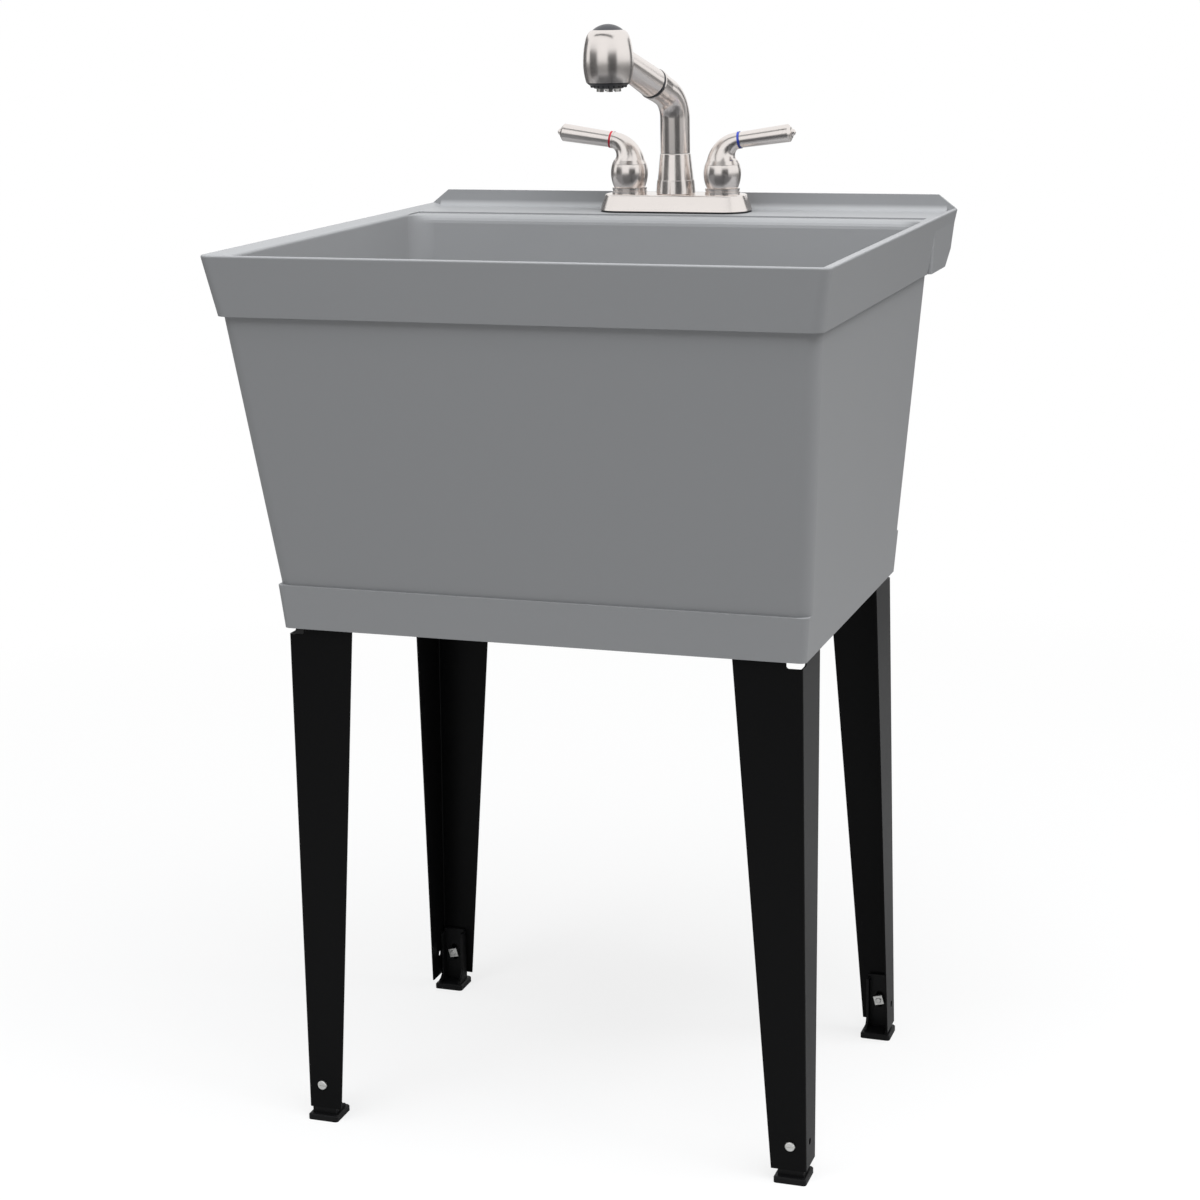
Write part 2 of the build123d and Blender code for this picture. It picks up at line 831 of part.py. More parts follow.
with BuildPart() as drain_washer:
    extrude(ring(washer_low, locknut_r + 1, drain_thread_r, y=drain_y), washer_thickness)
pieces["drain_washer"] = drain_washer

with BuildPart() as drain_locknut:
    extrude(ring(locknut_low, locknut_r - 1, drain_thread_r, y=drain_y), locknut_height)
    with BuildSketch(Plane.XY.offset(locknut_low)) as lugs:
        with Locations((0, drain_y)):
            with PolarLocations(locknut_r + 1, locknut_lugs):
                Rectangle(locknut_lug + 2, 2 * locknut_lug)
    extrude(amount=locknut_height)
pieces["drain_locknut"] = drain_locknut

with BuildPart() as drain_slip_nut:
    profile = turned(
        [
            (tail_r + seat_gap, slip_low),
            (slip_nut_r - slip_nut_rib, slip_low),
            (slip_nut_r, slip_low + slip_nut_rib),
            (slip_nut_r, slip_top),
            (drain_thread_r, slip_top),
            (drain_thread_r, body_end - tail_collar),
            (tail_r + seat_gap, body_end - tail_collar),
        ],
        upright(0, drain_y, 0),
    )
    revolve(profile, drain_axis)
    with BuildSketch(Plane.XY.offset(slip_low + slip_nut_rib)) as ribs:
        with Locations((0, drain_y)):
            with PolarLocations(slip_nut_r, slip_nut_ribs):
                Rectangle(2 * slip_nut_rib, 2 * slip_nut_rib)
    extrude(amount=slip_nut_height - 2 * slip_nut_rib)
pieces["drain_slip_nut"] = drain_slip_nut

with BuildPart() as drain_tailpiece:
    extrude(ring(body_end - tail_collar, collar_r, tail_r - tail_wall, y=drain_y), tail_collar)
    tail_low = body_end - tail_length
    tail_bore = tail_r - tail_wall
    extrude(ring(slip_low, tail_r - tail_relief, tail_bore, y=drain_y), body_end - tail_collar - slip_low)
    extrude(ring(tail_low, tail_r, tail_bore, y=drain_y), slip_low - tail_low)
pieces["drain_tailpiece"] = drain_tailpiece

with BuildPart() as drain_stopper:
    plug_r = drain_throat_r - stopper_play
    profile = turned(
        [
            (0, flange_seat - stopper_plug),
            (plug_r - 1, flange_seat - stopper_plug),
            (plug_r, flange_seat - 2 * drain_flange),
            (throat_mouth - stopper_play, flange_top - drain_flange / 2),
            (throat_mouth - stopper_play, flange_top),
            (stopper_r + stopper_brim, flange_top),
            (stopper_r + stopper_brim - 1, flange_top + stopper_brim),
            (2 * stopper_wire_r, flange_top + stopper_brim),
            (2 * stopper_wire_r, flange_top + stopper_brim + 1),
            (0, flange_top + stopper_brim + 1),
        ],
        upright(0, drain_y, 0),
    )
    revolve(profile, drain_axis)
    loop_z = flange_top + stopper_brim + stopper_loop_r + stopper_wire_r / 2
    with BuildSketch(Plane(origin=(0, drain_y, loop_z + stopper_loop_r), x_dir=(0, 0, 1), z_dir=(1, 0, 0))):
        Circle(stopper_wire_r)
    revolve(axis=Axis((0, drain_y, loop_z), (0, 1, 0)), revolution_arc=360)
pieces["drain_stopper"] = drain_stopper

# ---------------------------------------------------------------- deck plate and valve body
def plate_plan(z, inset):
    """The deck plate's rounded outline at a height, moved in by an inset."""
    lean = plate_taper * (z - plate_seat) / plate_height + inset
    with BuildSketch(Plane.XY.offset(z)) as outline:
        with Locations((0, faucet_y)):
            RectangleRounded(plate_length - 2 * lean, plate_width - 2 * lean, plate_corner - lean)
    return outline.sketch


with BuildPart() as faucet_gasket_pad:
    with BuildSketch(Plane.XY.offset(deck_z)):
        with Locations((0, faucet_y)):
            RectangleRounded(
                plate_length - 2 * gasket_inset,
                plate_width - 2 * gasket_inset,
                plate_corner - gasket_inset,
            )
            Circle(hose_hole_r, mode=Mode.SUBTRACT)
        with Locations((-handle_x, faucet_y), (handle_x, faucet_y)):
            Circle(shank_hole_r, mode=Mode.SUBTRACT)
    extrude(amount=faucet_gasket)
pieces["faucet_gasket"] = faucet_gasket_pad

with BuildPart() as faucet_deck_plate:
    loft([plate_plan(plate_seat, 0), plate_plan(plate_top, 0)])
    fillet(faucet_deck_plate.faces().sort_by(Axis.Z)[-1].edges(), plate_edge)
    loft(
        [plate_plan(plate_seat, plate_wall), plate_plan(plate_top - plate_wall, plate_wall)],
        mode=Mode.SUBTRACT,
    )
    for x, radius in (
        (-handle_x, cup_r + cup_fit),
        (0, spout_stud_r + spout_stud_fit),
        (handle_x, cup_r + cup_fit),
    ):
        extrude(
            disc(plate_top - plate_wall - 1, radius, x, faucet_y),
            plate_wall + 2,
            mode=Mode.SUBTRACT,
        )
pieces["faucet_deck_plate"] = faucet_deck_plate

with BuildPart() as valve_body:
    link_z = plate_seat + link_rise
    cup_low = plate_seat + 1
    shank_low = plate_seat - shank_drop
    for x in (-handle_x, handle_x):
        extrude(disc(cup_low, cup_r, x, faucet_y), plate_top + cup_rise - cup_low)
        extrude(disc(shank_low + shank_end, shank_r, x, faucet_y), cup_low - shank_low - shank_end)
        extrude(disc(shank_low, shank_end_r, x, faucet_y), shank_end)
    with BuildSketch(Plane.XY.offset(link_z)):
        with Locations((0, faucet_y + link_back)):
            Rectangle(handle_spacing + link_size, link_size)
        with Locations(
            (-handle_x, faucet_y + link_back / 2),
            (handle_x, faucet_y + link_back / 2),
        ):
            Rectangle(2 * link_size, link_back)
    extrude(amount=link_size)
    for x in (-handle_x, handle_x):
        extrude(
            disc(shank_low, shank_bore_r, x, faucet_y),
            shank_drop + plate_height + cup_rise + 1,
            mode=Mode.SUBTRACT,
        )
        extrude(
            disc(plate_top - stem_root, cartridge_bore_r, x, faucet_y),
            stem_root + cup_rise + 1,
            mode=Mode.SUBTRACT,
        )
pieces["valve_body"] = valve_body

with BuildPart() as mounting_nuts:
    for x in (-handle_x, handle_x):
        extrude(ring(shelf_under - mount_nut_brim, mount_nut_brim_r, shank_r, x, faucet_y), mount_nut_brim)
        with BuildSketch(Plane.XY.offset(shelf_under - mount_nut_height)):
            with Locations((x, faucet_y)):
                Circle(mount_nut_r)
                Circle(shank_r, mode=Mode.SUBTRACT)
                with PolarLocations(mount_nut_r, 4, start_angle=45):
                    Rectangle(mount_nut_brim * 2, mount_nut_brim)
        extrude(amount=mount_nut_height)
pieces["mounting_nuts"] = mounting_nuts

# ---------------------------------------------------------------- handles
trim_top = plate_top + trim_height
bell_foot = trim_top + seat_gap
bell_top = bell_foot + bell_height
cartridge_low = plate_top - stem_root
cartridge_seat = plate_top + cup_rise
cartridge_top = plate_top + cartridge_height
stem_top = cartridge_top + 1 + stem_grip
neck_start = bell_top + neck_rise
neck_end_turn = 90 - lever_rise


def side_plane(side):
    """A vertical plane through a handle's axis, its first axis pointing outward."""
    return Plane(
        origin=(side * handle_x, faucet_y, 0),
        x_dir=(side, 0, 0),
        z_dir=(0, -side, 0),
    )


def neck_section(side, share):
    """One round section of the neck as it bends over towards the lever."""
    turn = radians(neck_end_turn * share)
    out = neck_turn_r * (1 - cos(turn))
    up = neck_start + neck_turn_r * sin(turn)
    slimming = (1 - share) ** 1.5
    radius = neck_end_r + (neck_shoulder_r - neck_end_r) * slimming
    section = Plane(
        origin=(side * (handle_x + out), faucet_y, up),
        x_dir=(0, 1, 0),
        z_dir=(side * sin(turn), 0, cos(turn)),
    )
    with BuildSketch(section) as outline:
        Circle(radius)
    return outline.sketch


neck_shoulder_r = bell_seam_r - neck_rise / 2
lever_tilt = radians(lever_rise)
neck_out = neck_turn_r * (1 - cos(radians(neck_end_turn)))
neck_up = neck_start + neck_turn_r * sin(radians(neck_end_turn))


def lever_plane(side):
    """Frame at the neck's end, its third axis along the lever."""
    return Plane(
        origin=(side * (handle_x + neck_out), faucet_y, neck_up),
        x_dir=(0, 1, 0),
        z_dir=(side * cos(lever_tilt), 0, sin(lever_tilt)),
    )


def along(plane, points):
    """A profile turned about a plane's third axis, from (distance, radius) points."""
    with BuildSketch(Plane(origin=plane.origin, x_dir=plane.z_dir, z_dir=plane.x_dir)) as outline:
        with BuildLine():
            Polyline(*points, close=True)
        make_face()
    return outline.sketch


def shaft(plane):
    """The line along a plane's third axis."""
    return Axis(plane.origin, plane.z_dir)


for name, side in (("hot", -1), ("cold", 1)):
    x = side * handle_x
    axis = vertical(x, faucet_y)
    lever_frame = lever_plane(side)

    with BuildPart() as cartridge:
        extrude(disc(cartridge_low, cartridge_bore_r, x, faucet_y), cartridge_seat - cartridge_low)
        extrude(disc(cartridge_seat, cartridge_r, x, faucet_y), cartridge_top - cartridge_seat)
        extrude(
            disc(cartridge_low + 2, stem_r + stem_fit, x, faucet_y),
            cartridge_top - cartridge_low,
            mode=Mode.SUBTRACT,
        )
    pieces[name + "_cartridge"] = cartridge

    with BuildPart() as stem:
        extrude(disc(cartridge_low + 2, stem_r, x, faucet_y), stem_top - cartridge_low - 2)
    pieces[name + "_stem"] = stem

    with BuildPart() as trim:
        profile = turned(
            [
                (cup_r + cup_fit, plate_top),
                (trim_r, plate_top),
                (trim_r, plate_top + trim_height * 0.4),
                (trim_r - trim_groove, plate_top + trim_height * 0.45),
                (trim_r - trim_groove, plate_top + trim_height * 0.6),
                (trim_r - trim_groove / 2, plate_top + trim_height * 0.65),
                (trim_r - trim_groove / 2, trim_top),
                (cup_r + cup_fit, trim_top),
            ],
            upright(x, faucet_y, 0),
        )
        revolve(profile, axis)
    pieces[name + "_trim_ring"] = trim

    with BuildPart() as handle:
        with BuildSketch(upright(x, faucet_y, 0)):
            with BuildLine():
                Line((0, bell_foot), (bell_foot_r, bell_foot))
                Spline(
                    (bell_foot_r, bell_foot),
                    (bell_r, bell_foot + bell_widest),
                    (bell_seam_r, bell_top - bell_seam),
                )
                Polyline(
                    (bell_seam_r, bell_top - bell_seam),
                    (bell_seam_r - bell_seam, bell_top - bell_seam),
                    (bell_seam_r - bell_seam, bell_top),
                    (bell_seam_r, bell_top),
                    (neck_shoulder_r, neck_start),
                    (0, neck_start),
                    (0, bell_foot),
                )
            make_face()
        revolve(axis=axis)
        loft([neck_section(side, step / neck_steps) for step in range(neck_steps + 1)])
        bead = along(lever_frame, [(-bead_length, 0), (0, 0), (0, bead_r), (-bead_length, bead_r)])
        revolve(bead, shaft(lever_frame))
        extrude(
            disc(bell_foot, cup_r + 2 * cup_fit, x, faucet_y),
            cartridge_seat + 1 - bell_foot,
            mode=Mode.SUBTRACT,
        )
        bore_height = cartridge_top + 1 - bell_foot
        extrude(disc(bell_foot, bell_bore_r, x, faucet_y), bore_height, mode=Mode.SUBTRACT)
        extrude(disc(cartridge_top, stem_r, x, faucet_y), stem_top - cartridge_top, mode=Mode.SUBTRACT)
        spigot_hole = along(
            lever_frame,
            [(-lever_spigot, 0), (1, 0), (1, lever_spigot_r), (-lever_spigot, lever_spigot_r)],
        )
        revolve(spigot_hole, shaft(lever_frame), mode=Mode.SUBTRACT)
        screw_hole = Plane(
            origin=(x, faucet_y + stem_r, stem_top - set_screw_rise),
            x_dir=(1, 0, 0),
            z_dir=(0, 1, 0),
        )
        with BuildSketch(screw_hole):
            Circle(set_screw_r)
        extrude(amount=bell_r, mode=Mode.SUBTRACT)
    pieces[name + "_handle"] = handle

    with BuildPart() as set_screw:
        with BuildSketch(screw_hole):
            Circle(set_screw_r)
        extrude(amount=set_screw_length)
        with BuildSketch(screw_hole.offset(set_screw_length)):
            RegularPolygon(set_screw_r * 0.55, 6)
        extrude(amount=-set_screw_length / 3, mode=Mode.SUBTRACT)
    pieces[name + "_set_screw"] = set_screw

    with BuildPart() as index_ring:
        profile = along(
            lever_frame,
            [(0, lever_spigot_r), (index_length, lever_spigot_r), (index_length, index_r), (0, index_r)],
        )
        revolve(profile, shaft(lever_frame))
    pieces[name + "_index_ring"] = index_ring

    with BuildPart() as lever:
        lever_end = index_length + lever_length
        profile = along(
            lever_frame,
            [
                (-lever_spigot, 0),
                (-lever_spigot, lever_spigot_r),
                (index_length, lever_spigot_r),
                (index_length, lever_root_r),
                (lever_end - 1, lever_tip_r),
                (lever_end, lever_tip_r - 1),
                (lever_end + finial_length * 0.25, lever_tip_r * 0.62),
                (lever_end + finial_length * 0.3, lever_tip_r * 0.62),
                (lever_end + finial_length * 0.35, lever_tip_r * 0.45),
                (lever_end + finial_length * 0.75, lever_tip_r * 0.3),
                (lever_end + finial_length, 0),
            ],
        )
        revolve(profile, shaft(lever_frame))
    pieces[name + "_lever"] = lever

# ---------------------------------------------------------------- spout
spout_axis = vertical(0, faucet_y)
base_top = plate_top + spout_seam
spout_low = base_top + glide_ring
crossing_z = plate_top + spout_axis_height
heading = radians(spout_heading)
rise = radians(spout_rise)
ahead = Vector(-sin(heading), -cos(heading), 0)
wand_line = Vector(ahead.X * cos(rise), ahead.Y * cos(rise), sin(rise))
wand_plane = Plane(
    origin=(0, faucet_y, crossing_z),
    x_dir=(cos(heading), -sin(heading), 0),
    z_dir=(wand_line.X, wand_line.Y, wand_line.Z),
)
bend_plane = Plane(
    origin=(0, faucet_y, crossing_z),
    x_dir=(ahead.X, ahead.Y, 0),
    z_dir=(ahead.Y, -ahead.X, 0),
)
collar_z = plate_top + collar_rise
collar_r = between(spout_base_r, spout_base_top_r, collar_rise / spout_seam)
stud_low = plate_top - plate_wall - spout_nut_height - 1

with BuildPart() as spout_base:
    profile = turned(
        [
            (0, stud_low),
            (spout_stud_r, stud_low),
            (spout_stud_r, plate_top),
            (spout_base_r - 0.6, plate_top),
            (spout_base_r, plate_top + 0.8),
            (collar_r + 0.5, collar_z - 0.3),
            (collar_r + 0.2, collar_z),
            (collar_r - 0.2, collar_z),
            (spout_base_top_r, base_top - 0.4),
            (spout_base_top_r - 0.4, base_top),
            (journal_r, base_top),
            (journal_r, base_top + journal_height),
            (0, base_top + journal_height),
        ],
        upright(0, faucet_y, 0),
    )
    revolve(profile, spout_axis)
    # pointed keel down the front of the collar
    keel_points = [(-keel_width / 2, 0), (keel_width / 2, 0), (0, -keel_reach)]
    with BuildSketch(Plane(origin=(0, faucet_y, collar_z), x_dir=(1, 0, 0), z_dir=(0, 0, 1))) as keel_top:
        with BuildLine():
            Polyline((-keel_width / 2, 0), (keel_width / 2, 0), (0, -collar_r - 0.6), close=True)
        make_face()
    with BuildSketch(Plane(origin=(0, faucet_y, plate_top), x_dir=(1, 0, 0), z_dir=(0, 0, 1))) as keel_foot:
        with BuildLine():
            Polyline((-keel_width / 2, 0), (keel_width / 2, 0), (0, -keel_reach), close=True)
        make_face()
    loft([keel_foot.sketch, keel_top.sketch])
    base_length = base_top + journal_height - stud_low
    extrude(disc(stud_low, hose_bore_r, y=faucet_y), base_length, mode=Mode.SUBTRACT)
    for height in o_ring_heights:
        extrude(
            ring(base_top + height - o_ring_r, journal_r + 1, journal_r - 2 * o_ring_r, y=faucet_y),
            2 * o_ring_r,
            mode=Mode.SUBTRACT,
        )
pieces["spout_base"] = spout_base

with BuildPart() as spout_nut:
    with BuildSketch(Plane.XY.offset(plate_top - plate_wall - spout_nut_height)):
        with Locations((0, faucet_y)):
            RegularPolygon(spout_nut_r, 6)
            Circle(spout_stud_r, mode=Mode.SUBTRACT)
    extrude(amount=spout_nut_height)
pieces["spout_nut"] = spout_nut

with BuildPart() as spout_o_rings:
    for height in o_ring_heights:
        with BuildSketch(upright(0, faucet_y, 0)):
            with Locations((journal_r - o_ring_r, base_top + height)):
                Circle(o_ring_r)
        revolve(axis=spout_axis)
pieces["spout_o_rings"] = spout_o_rings

with BuildPart() as spout_glide_ring:
    extrude(ring(base_top, spout_r - 0.3, journal_r + seat_gap, y=faucet_y), glide_ring)
pieces["spout_glide_ring"] = spout_glide_ring

with BuildPart() as spout_body:
    with BuildLine(bend_plane) as spout_line:
        FilletPolyline(
            (0, spout_low - crossing_z),
            (0, 0),
            (spout_mouth * cos(rise), spout_mouth * sin(rise)),
            radius=spout_bend,
        )
    sweep(disc(spout_low, spout_r, y=faucet_y), path=spout_line.line)
    flare = along(
        wand_plane,
        [
            (spout_mouth - spout_flare, 0),
            (spout_mouth, 0),
            (spout_mouth, spout_mouth_r - 0.6),
            (spout_mouth - 0.8, spout_mouth_r),
            (spout_mouth - spout_flare, spout_r),
        ],
    )
    revolve(flare, shaft(wand_plane))
    sweep(disc(spout_low, hose_bore_r, y=faucet_y), path=spout_line.line, mode=Mode.SUBTRACT)
    extrude(
        disc(spout_low, journal_r + journal_fit, y=faucet_y),
        journal_height + 1 - glide_ring,
        mode=Mode.SUBTRACT,
    )
    dock_depth = dock_neck_length + 1
    dock_bore = along(
        wand_plane,
        [
            (spout_mouth - dock_depth, 0),
            (spout_mouth + 1, 0),
            (spout_mouth + 1, dock_neck_r + dock_fit),
            (spout_mouth - dock_depth, dock_neck_r + dock_fit),
        ],
    )
    revolve(dock_bore, shaft(wand_plane), mode=Mode.SUBTRACT)
pieces["spout_body"] = spout_body

# ---------------------------------------------------------------- pull-out wand
wand_start = spout_mouth + dock_ring
wand_end = wand_reach - wand_socket
neck_start_s = spout_mouth - dock_neck_length
head_x = wand_line.X * wand_reach
head_y = faucet_y + wand_line.Y * wand_reach
head_middle = crossing_z + wand_line.Z * wand_reach - head_drop
head_top = head_middle + head_height / 2
head_foot = head_middle - head_height / 2
head_axis = vertical(head_x, head_y)

with BuildPart() as docking_ring:
    profile = along(
        wand_plane,
        [
            (spout_mouth, dock_neck_r),
            (wand_start, dock_neck_r),
            (wand_start, dock_ring_r - 0.4),
            (spout_mouth + dock_ring / 2, dock_ring_r),
            (spout_mouth, dock_ring_r - 0.4),
        ],
    )
    revolve(profile, shaft(wand_plane))
pieces["docking_ring"] = docking_ring

with BuildPart() as wand_handle:
    profile = along(
        wand_plane,
        [
            (neck_start_s - hose_thread_length, waterway_r),
            (neck_start_s - hose_thread_length, hose_thread_r),
            (neck_start_s, hose_thread_r),
            (neck_start_s, dock_neck_r - 1),
            (neck_start_s + 1, dock_neck_r),
            (wand_start, dock_neck_r),
            (wand_start, wand_root_r - 0.6),
            (wand_start + 0.6, wand_root_r),
            (wand_end, wand_neck_r),
            (wand_end, waterway_r),
        ],
    )
    revolve(profile, shaft(wand_plane))
pieces["wand_handle"] = wand_handle

button_low = head_top - button_skirt
pocket_low = button_low - button_travel - 0.5
dome_r = (button_r**2 + button_dome**2) / (2 * button_dome)
with BuildPart() as wand_head:
    with BuildSketch(upright(head_x, head_y, 0)):
        with BuildLine():
            Line((0, head_foot), (head_foot_r, head_foot))
            Spline(
                (head_foot_r, head_foot),
                (between(head_foot_r, head_r, 0.8), head_foot + head_height * 0.2),
                (head_r, head_foot + head_height * 0.46),
                (between(head_top_r, head_r, 0.78), head_foot + head_height * 0.76),
                (head_top_r + 2.4, head_top - head_height * 0.035),
                (head_top_r, head_top),
            )
            Line((head_top_r, head_top), (0, head_top))
            Line((0, head_top), (0, head_foot))
        make_face()
    revolve(axis=head_axis)
    button_pocket = disc(pocket_low, button_r + button_fit, head_x, head_y)
    extrude(button_pocket, head_top + 1 - pocket_low, mode=Mode.SUBTRACT)
    extrude(disc(head_foot - 1, face_plug_r, head_x, head_y), face_plug + 1, mode=Mode.SUBTRACT)
    socket = along(
        wand_plane,
        [
            (wand_end - head_r * 2, 0),
            (wand_end, 0),
            (wand_end, wand_neck_r + head_seat),
            (wand_end - head_r * 2, between(wand_neck_r, wand_root_r, 0.9) + head_seat),
        ],
    )
    revolve(socket, shaft(wand_plane), mode=Mode.SUBTRACT)
    water = along(
        wand_plane,
        [(wand_end - 1, 0), (wand_reach, 0), (wand_reach, waterway_r), (wand_end - 1, waterway_r)],
    )
    revolve(water, shaft(wand_plane), mode=Mode.SUBTRACT)
    extrude(
        disc(head_foot, waterway_r, head_x, head_y),
        head_middle + head_drop - head_foot,
        mode=Mode.SUBTRACT,
    )
pieces["wand_head"] = wand_head

with BuildPart() as spray_button:
    with BuildSketch(upright(head_x, head_y, 0)):
        with BuildLine():
            Line((0, button_low), (button_r, button_low))
            Line((button_r, button_low), (button_r, head_top))
            RadiusArc((button_r, head_top), (0, head_top + button_dome), -dome_r)
            Line((0, head_top + button_dome), (0, button_low))
        make_face()
    revolve(axis=head_axis)
pieces["spray_button"] = spray_button

with BuildPart() as spray_face:
    face_low = head_foot - face_height
    profile = turned(
        [
            (waterway_r, head_foot + face_plug),
            (face_plug_r, head_foot + face_plug),
            (face_plug_r, head_foot),
            (head_foot_r - 0.6, head_foot),
            (head_foot_r - 1.0, head_foot - 1),
            (face_foot_r, face_low),
            (waterway_r, face_low),
        ],
        upright(head_x, head_y, 0),
    )
    revolve(profile, head_axis)
    extrude(disc(face_low, aerator_r, head_x, head_y), aerator_seat, mode=Mode.SUBTRACT)
pieces["spray_face"] = spray_face

with BuildPart() as aerator:
    aerator_low = face_low - aerator_drop
    extrude(
        ring(aerator_low, aerator_r, waterway_r, head_x, head_y),
        aerator_drop + aerator_seat,
    )
    extrude(
        disc(aerator_low, aerator_r - aerator_wall, head_x, head_y),
        aerator_notch_depth,
        mode=Mode.SUBTRACT,
    )
    with BuildSketch(Plane.XY.offset(aerator_low)) as notches:
        with Locations((head_x, head_y)):
            with PolarLocations(aerator_r, aerator_notches):
                Rectangle(3 * aerator_wall, aerator_notch)
    extrude(amount=aerator_notch_depth, mode=Mode.SUBTRACT)
pieces["aerator"] = aerator

for name, piece in pieces.items():
    piece.part.label = name
    export_step(piece.part, "parts/" + name + ".step")
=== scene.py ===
from math import cos, pi, radians, sin

import bmesh
import bpy
from mathutils import Matrix, Vector


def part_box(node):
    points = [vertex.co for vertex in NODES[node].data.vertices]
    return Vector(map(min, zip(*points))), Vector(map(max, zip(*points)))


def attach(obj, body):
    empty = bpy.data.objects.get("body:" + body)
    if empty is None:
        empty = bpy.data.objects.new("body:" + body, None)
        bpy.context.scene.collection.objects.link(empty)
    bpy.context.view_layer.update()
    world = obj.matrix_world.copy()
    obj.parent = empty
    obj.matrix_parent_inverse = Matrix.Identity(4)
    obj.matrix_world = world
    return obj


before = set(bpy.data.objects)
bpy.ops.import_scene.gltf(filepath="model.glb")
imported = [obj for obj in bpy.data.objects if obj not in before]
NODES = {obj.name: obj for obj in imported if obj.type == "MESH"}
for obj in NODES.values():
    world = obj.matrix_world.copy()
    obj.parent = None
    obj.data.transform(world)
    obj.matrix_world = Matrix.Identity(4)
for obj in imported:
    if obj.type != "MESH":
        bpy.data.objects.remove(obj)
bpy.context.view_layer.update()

bl_info = {
    "name": "Utility laundry sink",
    "version": (1, 0, 0),
    "blender": (4, 5, 0),
    "location": "3D View > Sidebar > Laundry sink",
    "description": "Finishes the laundry sink's solids and sets the studio round them",
    "category": "Object",
}

# ---------------------------------------------------------------- sizes and places, in metres
# threads: radius at the root, height of the ridge, steps round one turn
DRAIN_THREAD = (0.0235, 0.0008, 64)
SHANK_THREAD = (0.0103, 0.0006, 40)
SHANK_THREAD_FOOT = 0.8215

# spray nozzles: ring they stand on, height over the face's foot, outline as (radius, height)
NOZZLE_RING_R = 0.0175
NOZZLE_LIFT = 0.0023
NOZZLE_OUTLINE = ((0, -0.0014), (0.0005, -0.0014), (0.0009, 0), (0.001, 0.0012), (0, 0.0012))
NOZZLE_SIDES = 12

# aerator's screen: its reach, height over the aerator's foot, wire, step between the two layers
SCREEN_R = 0.0104
SCREEN_LIFT = 0.0022
SCREEN_WIRE = 0.00035
SCREEN_STEP = 0.0003

# studio: the floor's radius, and where its shading starts and stops to fade out for the camera
FLOOR_R = 30.0
FLOOR_FADE = (0.7, 2.0)
SOFT_WORLD = 0.27

# lamps: name, place, the point they look at, size, power in watts, colour
LAMPS = (
    ("overhead_softbox", (0.1, -0.9, 3.1), (0, 0, 0.8), (3.4, 2.6), 128, (0.97, 0.985, 1)),
    ("right_softbox", (2.0, -0.1, 2.7), (0, 0, 0.7), (1.6, 1.8), 38, (1, 1, 1)),
)

# cards round the faucet: name, turn and rise in degrees from straight ahead, size, tone
CARD_CENTRE = (0, 0.236, 0.95)
CARD_DISTANCE = 1.5
CARDS = (
    ("middle_card", 34, -2, (1.1, 0.8), 0.08),
    ("left_card", -52, -2, (1.1, 0.8), 0.1),
    ("far_left_card", -108, 0, (0.7, 0.9), 0.12),
    ("rear_card", 148, 0, (0.6, 0.9), 0.12),
    ("far_rear_card", 232, 0, (0.5, 0.9), 0.12),
    ("upper_card", -12, 54, (2.6, 0.4), 0.3),
)

# camera's shift, for the photograph's framing
CAMERA_SHIFT = (-0.0309, -0.0319)


def fresh_material(name):
    """A new node material, its tree and its Principled shader."""
    material = bpy.data.materials.new(name)
    material.use_nodes = True
    tree = material.node_tree
    return material, tree, tree.nodes["Principled BSDF"]


def node(tree, kind, **values):
    """A node of a kind, with its properties set by name."""
    made = tree.nodes.new(kind)
    for key, value in values.items():
        setattr(made, key, value)
    return made


def put(made, **values):
    """Sets a node's inputs by name, with _ for a space."""
    for key, value in values.items():
        made.inputs[key.replace("_", " ")].default_value = value
    return made


def dress(name, material):
    """Gives a carried-over solid its finish."""
    mesh = NODES[name].data
    mesh.materials.clear()
    mesh.materials.append(material)


def group_tree(name, inputs, outputs):
    """A shader node group with float inputs and (name, kind) outputs."""
    tree = bpy.data.node_groups.new(name, "ShaderNodeTree")
    for label, default in inputs:
        socket = tree.interface.new_socket(label, in_out="INPUT", socket_type="NodeSocketFloat")
        socket.default_value = default
    for label, kind in outputs:
        tree.interface.new_socket(label, in_out="OUTPUT", socket_type=kind)
    return tree, tree.nodes.new("NodeGroupInput"), tree.nodes.new("NodeGroupOutput")


def placed_group(tree, group, **values):
    """A node group placed in a material with its own values."""
    made = tree.nodes.new("ShaderNodeGroup")
    made.node_tree = group
    return put(made, **values)


